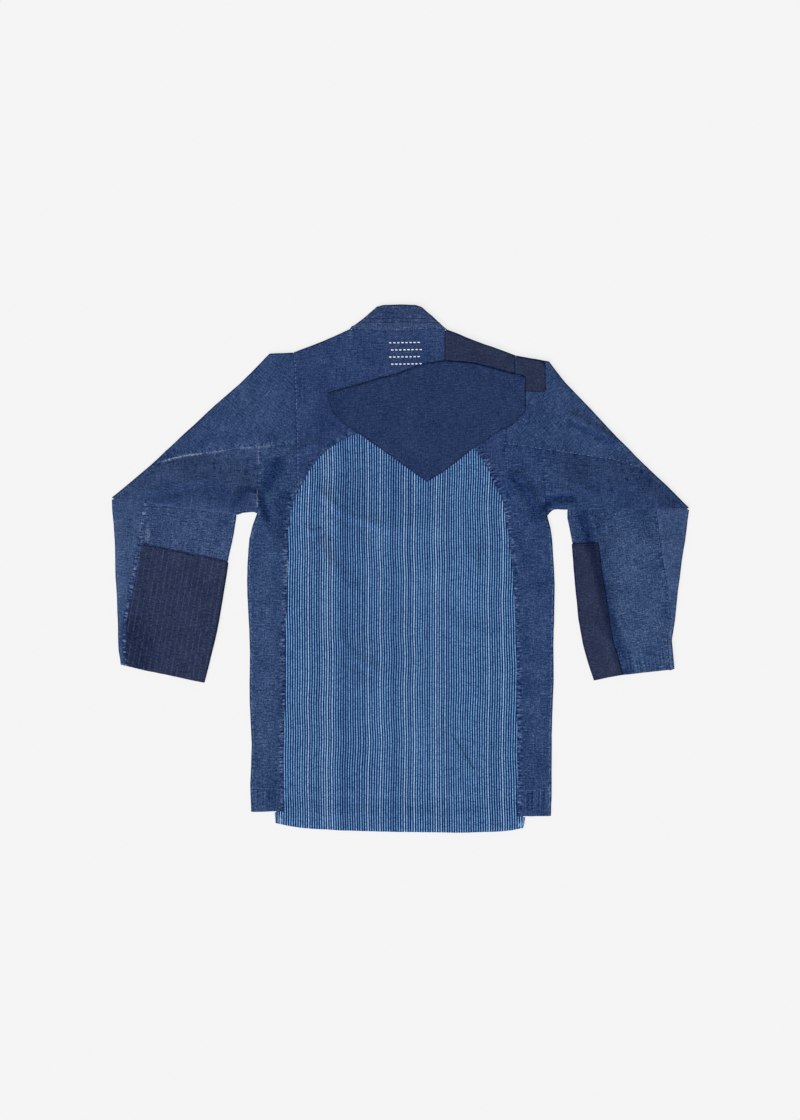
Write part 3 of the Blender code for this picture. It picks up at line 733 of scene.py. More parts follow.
def shell(name):
    """A fine cloth shell in the place of one solid, with what its material reads."""
    work = merged_copy(name)
    samples = edge_samples(work)
    if name in ROLLED:
        rolled = roll_elbow_edge(work, name.split("_")[-1])
        print("   roll faces:", rolled)
    if name in SLABS:
        bmesh.ops.dissolve_limit(
            work, angle_limit=ONE_FACE, verts=work.verts[:], edges=work.edges[:],
        )
        cut_squares(work, SLAB_STEP)
    else:
        bmesh.ops.join_triangles(
            work, faces=work.faces[:], angle_face_threshold=PAIR_BEND,
            angle_shape_threshold=PAIR_SHAPE, cmp_seam=False, cmp_sharp=False,
        )
        cut_squares(work, FINE_STEP)
    bmesh.ops.triangulate(work, faces=[f for f in work.faces if len(f.verts) > 4])
    rims = rim_points(work)
    mesh = bpy.data.meshes.new(name + "_cloth")
    work.to_mesh(mesh)
    work.free()
    points, normals = columns(mesh, "co", 3), columns(mesh, "normal", 3)
    edges = np.empty(len(mesh.edges) * 2, np.int32)
    mesh.edges.foreach_get("vertices", edges)
    plan = to_plan(points)
    upper = plan[:, 2] > UPPER_FROM
    rim = np.minimum(nearest(points, upper, samples["upper rim"]),
                     nearest(points, ~upper, samples["lower rim"]))
    fold = nearest(points, np.ones(len(points), bool), samples["fold"])
    if name not in SLABS:
        free = (np.abs(normals[:, 2]) > LEVEL) & (rim > SMOOTH_FROM_RIM)
        points[:, 2] = smoothed_heights(points, edges.reshape(-1, 2), free, SMOOTH_ROUNDS)
        plan = to_plan(points)
    x, y = plan[:, 0].copy(), plan[:, 1].copy()
    rope, run, seam_away = rope_and_run(x, y)
    if name in PATCHES:
        rope, seam_away = rope * 0, seam_away * 0 + REACH_CAP
    fade, bare = fade_shade_and_bare(x, y)
    share = smooth_step((plan[:, 2] - RELIEF_FROM) / (RELIEF_FULL - RELIEF_FROM))
    points[:, 2] += share * relief(x, y) / 1000
    for cell, size, seed in WOBBLE:
        points[:, 0] += size / 1000 * random_heights(x, y, cell, seed)
        points[:, 1] += size / 1000 * random_heights(x, y, cell, seed + 1)
    sideways = np.hypot(normals[:, 0], normals[:, 1])
    on_rim = np.zeros(len(points), bool)
    on_rim[rims] = True
    on_rim &= (fold > FOLD_CLEAR) & (rim < RIM_NEAR) & (sideways > SIDEWAYS)
    out_x = normals[:, 0] / np.maximum(sideways, 0.01)
    out_y = normals[:, 1] / np.maximum(sideways, 0.01)
    on_rim = tuck_under(name, points, out_x, out_y, on_rim, upper, x, y)
    points[:, 0] += np.where(on_rim, out_x * RIM_SPREAD / 1000, 0)
    points[:, 1] += np.where(on_rim, out_y * RIM_SPREAD / 1000, 0)
    points[:, 2] -= np.where(on_rim, np.sign(normals[:, 2]) * RIM_ROUND / 1000, 0)
    points[:, 2] = np.maximum(points[:, 2], 0)
    mesh.vertices.foreach_set("co", points.ravel())
    for label, values in (("rim_away", rim), ("fold_away", fold), ("seam_away", seam_away),
                          ("seam_run", run), ("rope", rope), ("fade", fade), ("bare", bare)):
        new_attribute(mesh, label, values)
    mesh.shade_smooth()
    mesh.set_sharp_from_angle(angle=HARD_RIM)
    mesh.update()
    piece = bpy.data.objects.new(name + "_cloth", mesh)
    bpy.context.scene.collection.objects.link(piece)
    return piece


print("pieces with a rolled elbow edge:", len(ROLLED))

# %% All the shells


def triangle_count(pieces):
    return sum(len(face.vertices) - 2 for piece in pieces for face in piece.data.polygons)


cloth = {}
for name in sorted(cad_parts):
    cloth[name] = shell(name)
    print(name, triangle_count([cloth[name]]))
print("triangles in all shells:", triangle_count(cloth.values()))

# %% [markdown]
# ## Woven cotton
#
# Indigo is dyed onto the yarn and rubs off where the cloth is touched, so the colour lives in
# the threads: each yarn is a little lighter or darker, thick places catch the light, and the
# whole goes cloudy with wear. One shader group makes this weave and puts out a tone, pale
# flecks and a height. Each material gives it its own yarn size, grain angle and strength.

# %% Node helper


class Bench:
    """Short calls to add and join nodes in one tree."""

    def __init__(self, tree):
        self.tree = tree

    def feed(self, socket, value):
        if isinstance(value, bpy.types.NodeSocket):
            self.tree.links.new(value, socket)
        elif value is not None:
            socket.default_value = value

    def node(self, kind, feeds=None, **settings):
        """A new node with its settings, and with its inputs fed by name or by number."""
        made = self.tree.nodes.new(kind)
        for key, value in settings.items():
            setattr(made, key, value)
        for key, value in (feeds or {}).items():
            self.feed(made.inputs[key], value)
        return made

    def math(self, operation, *values):
        feeds = dict(enumerate(values))
        return self.node("ShaderNodeMath", feeds, operation=operation).outputs[0]

    def plus(self, a, b):
        return self.math("ADD", a, b)

    def minus(self, a, b):
        return self.math("SUBTRACT", a, b)

    def times(self, a, b):
        return self.math("MULTIPLY", a, b)

    def times_plus(self, a, b, c):
        return self.math("MULTIPLY_ADD", a, b, c)

    def ramp(self, value, low, high, out_low=0.0, out_high=1.0):
        """A smooth step from one number to another while the value goes from low to high."""
        feeds = dict(enumerate((value, low, high, out_low, out_high)))
        return self.node("ShaderNodeMapRange", feeds, interpolation_type="SMOOTHSTEP").outputs[0]

    def off_middle(self, value):
        """How far a value's fraction is from one half."""
        return self.math("ABSOLUTE", self.minus(self.math("FRACT", value), 0.5))

    def colours(self, value, stops):
        """Colours at even steps of a value from 0 to 1."""
        made = self.node("ShaderNodeValToRGB", {0: value})
        elements = made.color_ramp.elements
        elements.remove(elements[1])
        elements[0].color = stops[0]
        for number, stop in enumerate(stops[1:], start=1):
            elements.new(number / (len(stops) - 1)).color = stop
        return made.outputs[0]

    def noise(self, vector, scale, detail=2.0, roughness=0.5):
        feeds = {"Vector": vector, "Scale": scale, "Detail": detail, "Roughness": roughness}
        return self.node("ShaderNodeTexNoise", feeds, noise_dimensions="2D").outputs["Fac"]

    def vector(self, x, y, z=None):
        return self.node("ShaderNodeCombineXYZ", {0: x, 1: y, 2: z}).outputs[0]

    def mix(self, factor, a, b):
        return self.node("ShaderNodeMix", {0: factor, 6: a, 7: b}, data_type="RGBA").outputs[2]

    def attribute(self, name):
        return self.node("ShaderNodeAttribute", attribute_name=name).outputs["Fac"]

    def group(self, tree, **feeds):
        """A shader group placed in this tree. Its inputs are named with _ for each space."""
        feeds = {key.replace("_", " "): value for key, value in feeds.items()}
        return self.node("ShaderNodeGroup", feeds, node_tree=tree).outputs


def new_group(name, inputs, outputs):
    """An empty shader group. All that it puts out are numbers."""
    tree = bpy.data.node_groups.new(name, "ShaderNodeTree")
    for label, kind, value in inputs:
        socket = tree.interface.new_socket(name=label, in_out="INPUT", socket_type=kind)
        if value is not None:
            socket.default_value = value
    for label in outputs:
        tree.interface.new_socket(name=label, in_out="OUTPUT", socket_type=NUMBER)
    bench = Bench(tree)
    return tree, bench, bench.node("NodeGroupInput").outputs, bench.node("NodeGroupOutput").inputs


NUMBER = "NodeSocketFloat"
PLACE = "NodeSocketVector"
print("helper ready")

# %% Woven cotton group
MIDDLE_TONE = 0.43
weave_tree, w, given, wanted = new_group(
    "woven cotton",
    [("Place", PLACE, None), ("Grain", NUMBER, 0.0), ("Yarn mm", NUMBER, 0.8),
     ("Streaks", NUMBER, 0.3), ("Grit", NUMBER, 1.0), ("Clouds", NUMBER, 0.3)],
    ("Tone", "Flecks", "Height", "Across", "Along"),
)
turned = w.node("ShaderNodeVectorRotate", {"Vector": given["Place"], "Angle": given["Grain"]},
                rotation_type="Z_AXIS")
split = w.node("ShaderNodeSeparateXYZ", {0: turned.outputs[0]})
across, along = (w.times(split.outputs[axis], 1000) for axis in (0, 1))
warp, weft = (w.math("DIVIDE", way, given["Yarn mm"]) for way in (across, along))
# Each yarn its own tone, grit on the yarns, thick places along the weft, and slow clouds
warp_tone = w.noise(w.vector(warp, w.times(along, 0.05)), 0.7, 1)
weft_tone = w.noise(w.vector(w.times(across, 0.08), weft), 0.6, 2)
grit = w.noise(w.vector(across, along), 0.42, 2, 0.75)
slub = w.noise(w.vector(w.times(across, 0.22), along), 0.5, 2)
cloud = w.noise(w.vector(across, along), 0.03, 5, 0.6)
streaks = w.plus(w.minus(warp_tone, 0.5), w.minus(weft_tone, 0.5))
tone = w.times_plus(streaks, given["Streaks"], MIDDLE_TONE)
tone = w.times_plus(w.minus(grit, 0.5), given["Grit"], tone)
tone = w.times_plus(w.minus(slub, 0.5), w.times(given["Grit"], 0.5), tone)
tone = w.times_plus(w.minus(cloud, 0.5), given["Clouds"], tone)
speck = w.noise(w.vector(w.times(across, 0.7), along), 0.6, 2, 0.65)
flecks = w.times(w.ramp(speck, 0.62, 0.78), w.ramp(cloud, 0.35, 0.65, 0.3, 1))
# Warp over weft and weft over warp, in turn
over, under = (w.math("SINE", w.times(number, math.pi)) for number in (warp, weft))
plain = w.times_plus(w.times(over, under), 0.3, 0.5)
height = w.times_plus(slub, 0.6, w.times_plus(grit, 1.2, plain))
for label, value in zip(("Tone", "Flecks", "Height", "Across", "Along"),
                        (tone, flecks, height, across, along)):
    w.feed(wanted[label], value)
print("weave nodes:", len(weave_tree.nodes))

# %% [markdown]
# ## Rubbed seams and edges, with painted shade
#
# Where two cloths are sewn together the puckers stand up in a row, and every top rubs pale. Worn
# denim shows the same rope-like pattern. The hollows between the puckers get painted shade. The group
# reads what the shells carry as attributes and puts out a signed change of tone: up where the cloth
# is rubbed, and down where shade is painted, in the pucker hollows, along the seam's line, in the
# line round a patch and on a fold's edge.

# %% Rubbed seam group, with painted shade
rub_and_shade_tree, r, given, wanted = new_group(
    "rubbed seams and painted shade",
    [("Place", PLACE, None), ("Seam away", NUMBER, 40.0), ("Seam run", NUMBER, 0.0),
     ("Rope", NUMBER, 0.0), ("Rim away", NUMBER, 40.0), ("Fold away", NUMBER, 40.0),
     ("Bare", NUMBER, 0.0), ("Rim tone", NUMBER, 0.0), ("Fold tone", NUMBER, 0.5)],
    ("Change", "Bare"),
)
millimetres = r.node("ShaderNodeVectorMath", {0: given["Place"], "Scale": 1000}, operation="SCALE")
millimetres = millimetres.outputs[0]
# Pale tops along the seam, rubbed by wear, and dark hollows between them, which are painted shade, in
# step with its puckers
beat = r.times(given["Seam run"], 0.34)
rope_noise = r.noise(r.vector(beat, r.times(given["Seam away"], 0.11)), 1.0, 2, 0.55)
rubbed = r.minus(r.ramp(rope_noise, 0.50, 0.68), r.ramp(rope_noise, 0.50, 0.34, 0.0, 0.75))
change = r.times(rubbed, r.times(given["Rope"], 0.36))
# The seam's own line is made darker: painted shade in the seam's dip.
change = r.plus(change, r.times(r.ramp(given["Seam away"], 0.2, 1.3, 1.0, 0.0), -0.16))
# A line of painted shade round a patch, then worn dots beside a fold and a line of painted shade on
# the fold's edge
painted_rim_shade = r.ramp(given["Rim away"], 0.1, 1.4, 1.0, 0.0)
change = r.times_plus(painted_rim_shade, given["Rim tone"], change)
dots = r.ramp(r.noise(millimetres, 0.3, 2, 0.6), 0.48, 0.62)
dots = r.times(dots, r.ramp(given["Fold away"], 1.5, 5.5, 1.0, 0.0))
change = r.times_plus(dots, given["Fold tone"], change)
change = r.times_plus(r.ramp(given["Fold away"], 0.2, 1.8, 1.0, 0.0), -0.2, change)
r.feed(wanted["Change"], change)
# Bare threads show close to a seam, or well away from all seams
near_seam = r.ramp(given["Seam away"], 0.6, 2.6, 1.0, 0.0)
narrow = r.math("MAXIMUM", near_seam, r.ramp(given["Seam away"], 8.0, 14.0))
thread = r.ramp(r.noise(millimetres, 0.5, 2, 0.65), 0.42, 0.56)
r.feed(wanted["Bare"], r.times(r.times(given["Bare"], narrow), thread))
print("rub nodes:", len(rub_and_shade_tree.nodes))

# %% Dyes
# Screen colours out of 255 for the dye itself, then the weave's own values for that cloth, then the
# tone of the painted shade line round a patch's rim and of the worn dots beside a fold.
Dye = namedtuple("Dye", "red green blue grain yarn streaks grit clouds rim fold",
                 defaults=(0.0, 0.0))
DYES = {
    "indigo_back": Dye(44, 64, 106, 0.0, 0.8, 0.30, 0.75, 0.22, 0.0, 0.2),
    "indigo_collar": Dye(50, 68, 107, 0.0, 0.8, 0.35, 0.9, 0.2, 0.0, 0.2),
    "indigo_sleeve_left": Dye(47, 68, 109, 0.7, 0.8, 0.30, 0.85, 0.22, 0.0, 0.15),
    "indigo_sleeve_right": Dye(45, 66, 106, -0.7, 0.8, 0.30, 0.85, 0.22, 0.0, 0.15),
    "indigo_under_left": Dye(50, 70, 110, 0.1, 0.8, 0.30, 0.75, 0.2, 0.0, 0.15),
    "indigo_under_right": Dye(43, 64, 104, 0.0, 0.8, 0.30, 0.75, 0.2, 0.0, 0.15),
    "indigo_side_left": Dye(46, 68, 108, 0.02, 0.8, 0.25, 1.0, 0.26, 0.0, 0.3),
    "indigo_side_right": Dye(43, 65, 107, 0.0, 0.8, 0.25, 0.95, 0.26, 0.0, 0.3),
    "indigo_forearm_left": Dye(51, 70, 111, 0.15, 0.8, 0.35, 1.0, 0.22, 0.0, 0.2),
    "indigo_forearm_right": Dye(46, 68, 107, -0.15, 0.8, 0.35, 1.0, 0.24, 0.0, 0.2),
    "indigo_forearm_outer": Dye(58, 79, 118, 0.08, 0.8, 0.30, 0.8, 0.2, 0.0, 0.2),
    "indigo_yoke": Dye(38, 56, 95, 0.0, 0.6, 0.2, 0.65, 0.12, -0.3, 0.0),
    "navy": Dye(43, 51, 79, 0.0, 0.6, 0.15, 0.5, 0.12, -0.25, 0.0),
    "navy_dashed": Dye(42, 52, 82, 0.17, 0.6, 0.2, 0.6, 0.16, -0.25, 0.0),
}
print("dyes:", len(DYES))

# %% Indigo cloth
EXPOSURE = 1.06
FADE_AND_SHADE_TONE = 0.16
FLECK_TONE = 0.2
# What is added to a dye's screen colour from a tone of 0, deep as unworn cloth and painted shade, to
# 1, rubbed pale
SWING = (-46, -30, -15, 0, 17, 36, 58, 84)
BARE_THREADS = (176, 196, 226)
DASH_COLOUR = (92, 98, 126)
DASH_PITCH = 8.6


def colour(red, green, blue):
    """A screen colour out of 255 as the linear colour that a shader takes."""
    linear = [((c / 255 + 0.055) / 1.055) ** 2.4 for c in (red, green, blue)]
    return (*[min(1.0, c / EXPOSURE) for c in linear], 1.0)


def dyed_tone(bench, tone, dye):
    """The dye's colour at a tone from 0, deep as unworn cloth and painted shade, to 1, rubbed pale.
    """
    stops = [colour(*[max(3, c + step) for c in dye[:3]]) for step in SWING]
    return bench.colours(tone, stops)


def new_cloth(name, dye):
    """A new material, its bench, the place on the piece and the weave of this dye."""
    material = bpy.data.materials.new(name)
    material.use_nodes = True
    bench = Bench(material.node_tree)
    place = bench.node("ShaderNodeTexCoord").outputs["Object"]
    weave = bench.group(weave_tree, Place=place, Grain=dye.grain, Yarn_mm=dye.yarn,
                        Streaks=dye.streaks, Grit=dye.grit, Clouds=dye.clouds)
    return material, bench, place, weave


def worn_and_shaded(bench, place, weave, dye):
    """The weave's tone after rubbing, fading and painted shade, and how bare the cloth is."""
    carried = ("Seam_away", "Seam_run", "Rope", "Rim_away", "Fold_away", "Bare")
    rub_and_shade = bench.group(rub_and_shade_tree, Place=place, Rim_tone=dye.rim, Fold_tone=dye.fold,
                      **{label: bench.attribute(label.lower()) for label in carried})
    tone = bench.plus(weave["Tone"], rub_and_shade["Change"])
    # Fading makes the tone paler, and painted shade in the creases and underarms makes it darker.
    return bench.times_plus(bench.attribute("fade"), FADE_AND_SHADE_TONE, tone), rub_and_shade["Bare"]


def finish_cloth(material, bench, base, height):
    """What every cloth here has in common: matt, a breath of sheen, and its weave as bump."""
    shader = material.node_tree.nodes["Principled BSDF"]
    bench.feed(shader.inputs["Base Color"], base)
    shader.inputs["Roughness"].default_value = 0.92
    shader.inputs["Sheen Weight"].default_value = 0.02
    shader.inputs["Sheen Roughness"].default_value = 0.6
    shader.inputs["Specular IOR Level"].default_value = 0.04
    bump = bench.node("ShaderNodeBump", {"Strength": 0.6, "Distance": 0.0005, "Height": height})
    bench.feed(shader.inputs["Normal"], bump.outputs[0])
    return material


def dashes(bench, weave):
    """Columns of short faint dashes, as in a kasuri cloth, as a share of the pale yarn."""
    column = bench.math("DIVIDE", weave["Across"], DASH_PITCH)
    number = bench.math("FLOOR", column)
    line = bench.ramp(bench.off_middle(column), 0.05, 0.13, 0.42, 0.0)
    spot = bench.vector(bench.times(number, 5.1), bench.times(weave["Along"], 0.42))
    return bench.times(line, bench.ramp(bench.noise(spot, 1.0, 2, 0.7), 0.45, 0.58))


def indigo_cloth(name, dye):
    """A plain indigo cloth, with faint dashes where the dye's name asks for them."""
    material, bench, place, weave = new_cloth(name, dye)
    tone, bare = worn_and_shaded(bench, place, weave, dye)
    tone = bench.times_plus(weave["Flecks"], FLECK_TONE * dye.grit, tone)
    base = dyed_tone(bench, tone, dye)
    if name == "navy_dashed":
        base = bench.mix(dashes(bench, weave), base, colour(*DASH_COLOUR))
    base = bench.mix(bare, base, colour(*BARE_THREADS))
    return finish_cloth(material, bench, base, weave["Height"])


materials = {name: indigo_cloth(name, dye) for name, dye in DYES.items()}
print("indigo cloths:", sorted(materials))

# %% [markdown]
# ## Striped back panel
#
# The back is a striped cotton: its warp has rows of pale resist-dyed yarn between dark ones, so
# each stripe is a string of light dashes. Stripes run straight down the cloth. They are made
# from the plan position across the panel: a narrow pale line each few millimetres, whose
# strength changes from stripe to stripe and breaks into dashes along its length.

# %% Striped material
STRIPE_PITCH = 3.72
STRIPE_BEND = 6.0
STRIPE_DYE = Dye(3, 28, 92, 0.0, 0.7, 0.1, 0.45, 0.15, 0.0, 0.1)
PALE_YARN = (142, 204, 255)
WHITE_YARN = (206, 226, 250)
BARE_STRIPES = (176, 200, 240)
# The share of the lines that are brighter than the rest, by their random number
BRIGHT_LINES = (0.74, 0.92)


def striped_cloth(name, dye):
    """A dark ground with pale broken lines along the warp."""
    material, bench, place, weave = new_cloth(name, dye)
    tone, bare = worn_and_shaded(bench, place, weave, dye)
    # The warp wanders a little sideways on its way down the cloth
    spot = bench.vector(bench.times(weave["Across"], 0.006), bench.times(weave["Along"], 0.009))
    across = bench.times_plus(bench.noise(spot, 1.0, 1), STRIPE_BEND, weave["Across"])
    count = bench.math("DIVIDE", across, STRIPE_PITCH)
    number = bench.math("FLOOR", count)
    luck = bench.node("ShaderNodeTexWhiteNoise", {"W": number}, noise_dimensions="1D")
    luck = luck.outputs["Value"]
    # A pale line for each step, broken into dashes, some lines brighter and some dimmer
    line = bench.ramp(bench.off_middle(count), 0.10, 0.27, 1.0, 0.0)
    spot = bench.vector(bench.times(number, 7.3), bench.times(weave["Along"], 0.4))
    line = bench.times(line, bench.ramp(bench.noise(spot, 1.0, 2, 0.7), 0.3, 0.6, 0.45, 1.0))
    line = bench.times(line, bench.ramp(luck, *BRIGHT_LINES, 0.8, 1.0))
    line = bench.times(line, bench.ramp(luck, 0.0, 0.3, 0.7, 1.0))
    base = bench.mix(line, dyed_tone(bench, tone, dye), dyed_tone(bench, tone, PALE_YARN))
    white = bench.times(bench.times(line, bench.ramp(luck, *BRIGHT_LINES)), 0.45)
    base = bench.mix(white, base, colour(*WHITE_YARN))
    base = bench.mix(bare, base, colour(*BARE_STRIPES))
    return finish_cloth(material, bench, base, bench.times_plus(line, 0.5, weave["Height"]))


materials["kasuri_stripe"] = striped_cloth("kasuri_stripe", STRIPE_DYE)
print("stripe pitch:", STRIPE_PITCH)

# %% [markdown]
# ## Stitches
#
# Every seam of the real jacket is held by thread: pale where old thread has lost its dye, dark
# round the patches, and one small field of thick white running stitches under the collar. A
# stitch is a short arch of thread. One Geometry Nodes tree walks along a line lying on the
# cloth, puts an arch every few millimetres, leaves some out and makes each a little longer or
# shorter, so one tree with other numbers sews all of them.

# %% Stitch tree
STITCH_SIDES = 6
STITCH_STEPS = 5


def stitch_tree():
    """The Geometry Nodes tree that turns a line into a row of stitches."""
    tree = bpy.data.node_groups.new("row of stitches", "GeometryNodeTree")
    sizes = ("Pitch", "Stitch length", "Thread", "Keep", "Jitter")
    sockets = [("Line", "Geometry"), *[(label, "Float") for label in sizes],
               ("Seed", "Int"), ("Thread material", "Material")]
    for label, kind in sockets:
        tree.interface.new_socket(name=label, in_out="INPUT", socket_type="NodeSocket" + kind)
    tree.interface.new_socket(name="Stitches", in_out="OUTPUT", socket_type="NodeSocketGeometry")
    bench = Bench(tree)
    given = bench.node("NodeGroupInput").outputs
    # The line, with a point for each stitch
    line = bench.node("GeometryNodeMeshToCurve", {"Mesh": given["Line"]})
    spaced = bench.node("GeometryNodeResampleCurve",
                        {"Curve": line.outputs[0], "Length": given["Pitch"]}, mode="LENGTH")
    # One stitch: a round thread along an arch
    half = bench.times(given["Stitch length"], 0.5)
    arch = bench.node("GeometryNodeCurveQuadraticBezier", {
        "Resolution": STITCH_STEPS, "Start": bench.vector(bench.times(half, -1.0), None),
        "Middle": bench.vector(None, None, given["Thread"]), "End": bench.vector(half, None),
    })
    section = bench.node("GeometryNodeCurvePrimitiveCircle", {
        "Resolution": STITCH_SIDES, "Radius": bench.times(given["Thread"], 0.5),
    })
    stitch = bench.node("GeometryNodeCurveToMesh", {
        "Curve": arch.outputs[0], "Profile Curve": section.outputs[0], "Fill Caps": True,
    })
    # Which points get a stitch, and how long each one is. A random node's inputs 2 and 3 are
    # its least and its most, its output 1 is a number and its output 3 is yes or no.
    kept = bench.node("FunctionNodeRandomValue",
                      {"Probability": given["Keep"], "Seed": given["Seed"]}, data_type="BOOLEAN")
    size = bench.node("FunctionNodeRandomValue", {
        2: bench.minus(1.0, given["Jitter"]), 3: bench.plus(1.0, given["Jitter"]),
        "Seed": bench.plus(given["Seed"], 7),
    }, data_type="FLOAT")
    direction = bench.node("GeometryNodeInputTangent")
    turned = bench.node("FunctionNodeAlignRotationToVector", {"Vector": direction.outputs[0]},
                        axis="X", pivot_axis="Z")
    row = bench.node("GeometryNodeInstanceOnPoints", {
        "Points": spaced.outputs[0], "Selection": kept.outputs[3], "Instance": stitch.outputs[0],
        "Rotation": turned.outputs[0], "Scale": bench.vector(size.outputs[1], 1.0, 1.0),
    })
    real = bench.node("GeometryNodeRealizeInstances", {0: row.outputs[0]})
    dressed = bench.node("GeometryNodeSetMaterial", {
        "Geometry": real.outputs[0], "Material": given["Thread material"],
    })
    bench.node("NodeGroupOutput", {0: dressed.outputs[0]})
    return tree


row_of_stitches = stitch_tree()
print("stitch tree nodes:", len(row_of_stitches.nodes))

# %% Thread materials
# Twisted cotton: a fine weave turned across the thread stands for its spiral.
THREADS = {
    "thread_pale": Dye(112, 134, 178, 0.6, 0.35, 0.4, 0.5, 0.3),
    "thread_dark": Dye(24, 32, 60, 0.6, 0.35, 0.4, 0.5, 0.3),
    "thread_white": Dye(250, 250, 252, 0.6, 0.35, 0.4, 0.5, 0.3),
}
for name, dye in THREADS.items():
    material, bench, _, weave = new_cloth(name, dye)
    base = dyed_tone(bench, weave["Tone"], dye)
    materials[name] = finish_cloth(material, bench, base, weave["Height"])
print("threads:", sorted(THREADS))

# %% Lines on top of the cloth
TOUCH_STEP = 2.0
SUNK = 0.25
surfaces = [BVHTree.FromPolygons([v.co for v in piece.data.vertices],
                                 [p.vertices for p in piece.data.polygons])
            for piece in cloth.values()]


def top_height(x, y):
    """Height of the highest cloth over a frame position, in metres, or None off the jacket."""
    hits = [tree.ray_cast(Vector((x, y, 0.1)), Vector((0, 0, -1)))[0] for tree in surfaces]
    heights = [hit.z for hit in hits if hit is not None]
    return max(heights) if heights else None


def shifted(line, aside):
    """A plan line moved sideways by millimetres, to the right as seen running along it."""
    moved = []
    for k, (x, y) in enumerate(line):
        ax, ay = line[max(0, k - 1)]
        bx, by = line[min(len(line) - 1, k + 1)]
        length = math.hypot(bx - ax, by - ay)
        moved.append((x - (by - ay) / length * aside, y + (bx - ax) / length * aside))
    return moved


def lines_on_cloth(name, lines, thread):
    """A mesh of poly-lines that lie on the cloth, for the stitch tree to walk along."""
    points, edges = [], []
    for line in lines:
        started = False
        for (ax, ay), (bx, by) in zip(line, line[1:]):
            steps = max(1, round(math.hypot(bx - ax, by - ay) / TOUCH_STEP))
            for k in range(0 if not started else 1, steps + 1):
                x, y = to_frame(ax + (bx - ax) * k / steps, ay + (by - ay) * k / steps)
                height = top_height(x, y)
                if height is None:
                    started = False
                    continue
                points.append((x, y, height - SUNK * thread / 1000))
                if started:
                    edges.append((len(points) - 2, len(points) - 1))
                started = True
    mesh = bpy.data.meshes.new(name + "_line")
    mesh.from_pydata(points, edges, [])
    piece = bpy.data.objects.new(name, mesh)
    bpy.context.scene.collection.objects.link(piece)
    return piece


print("cloth surfaces to sew on:", len(surfaces))

# %% Rows of stitches
YOKE_TOP = ((-113, 98), (-91, 91), (-65, 84), (-34, 75), (-6, 68), (18, 58), (39, 52), (65, 48),
            (86, 49), (108, 51), (127, 55), (150, 62), (172, 68), (190, 73))
YOKE_BOTTOM = ((-107, 129), (-91, 146), (-65, 162), (-34, 184), (-6, 204), (18, 221), (39, 236),
               (65, 219), (86, 203), (108, 185), (127, 174), (150, 158), (172, 147), (190, 128))
SHOULDER_EDGE = ((67, 3), (67, 46))
HEAD_EDGE = ((192, 95), (221, 95))
CUFF_TOP_LEFT = ((-401, 329), (-274, 355))
CUFF_TOP_RIGHT = ((265, 333), (302, 333))
COLLAR_LOW = ((-66, -11), (0, -12), (57, -11))
COLLAR_HIGH = ((-58, -17), (0, -18), (50, -17))
SIDE_LEFT = ((-233, 318), (-236, 356), (-237, 403), (-233, 480), (-233, 574), (-230, 636),
             (-232, 705), (-231, 742))
SIDE_RIGHT = ((229, 318), (234, 388), (232, 496), (232, 542), (229, 620), (229, 682), (228, 750))
HEM_STRIPE = ((-180, 721), (-60, 720), (60, 722), (176, 722))
HEM_LEFT = ((-232, 710), (-188, 711))
HEM_RIGHT = ((183, 714), (228, 713))
WHITE_ROWS = (20, 31, 42, 53)
WHITE_PITCH = 6.2
white_lines = [((-18 + WHITE_PITCH / 2 * (k % 2), y), (26 + WHITE_PITCH / 2 * (k % 2), y - 0.6))
               for k, y in enumerate(WHITE_ROWS)]
Row = namedtuple("Row", "name material pitch stitch thread keep jitter seed lines")
ROWS = (
    Row("armhole", "thread_pale", 6.5, 3.2, 0.8, 0.85, 0.3, 1, (
        shifted(SEAM_LINES["armhole_left"], -1.8),)),
    Row("sleeves", "thread_pale", 6.8, 3.0, 0.8, 0.7, 0.4, 2, (
        shifted(SEAM_LINES["sleeve_left"], 1.3), shifted(SEAM_LINES["sleeve_right"], -1.2))),
    Row("forearm", "thread_pale", 7.5, 3.4, 0.8, 0.55, 0.4, 3, (
        shifted(SEAM_LINES["forearm_right"], 1.6),)),
    Row("hems", "thread_pale", 4.4, 2.6, 0.7, 0.75, 0.3, 4, (HEM_STRIPE, HEM_LEFT, HEM_RIGHT)),
    Row("sides", "thread_pale", 7.0, 4.2, 0.8, 0.55, 0.4, 5, (SIDE_LEFT, SIDE_RIGHT)),
    Row("collar", "thread_dark", 3.6, 3.0, 0.7, 0.95, 0.1, 6, (COLLAR_LOW, COLLAR_HIGH)),
    Row("patches", "thread_dark", 3.4, 2.6, 0.7, 0.95, 0.2, 7, (
        shifted(YOKE_TOP, 1.6), shifted(YOKE_BOTTOM, -1.6), SHOULDER_EDGE, HEAD_EDGE,
        shifted(CUFF_TOP_LEFT, 2.0), shifted(CUFF_TOP_RIGHT, 2.0))),
    Row("running_white", "thread_white", WHITE_PITCH, 2.6, 2.0, 1.0, 0.08, 8, white_lines),
)


print("rows of stitches:", len(ROWS))

# %% Sew the rows


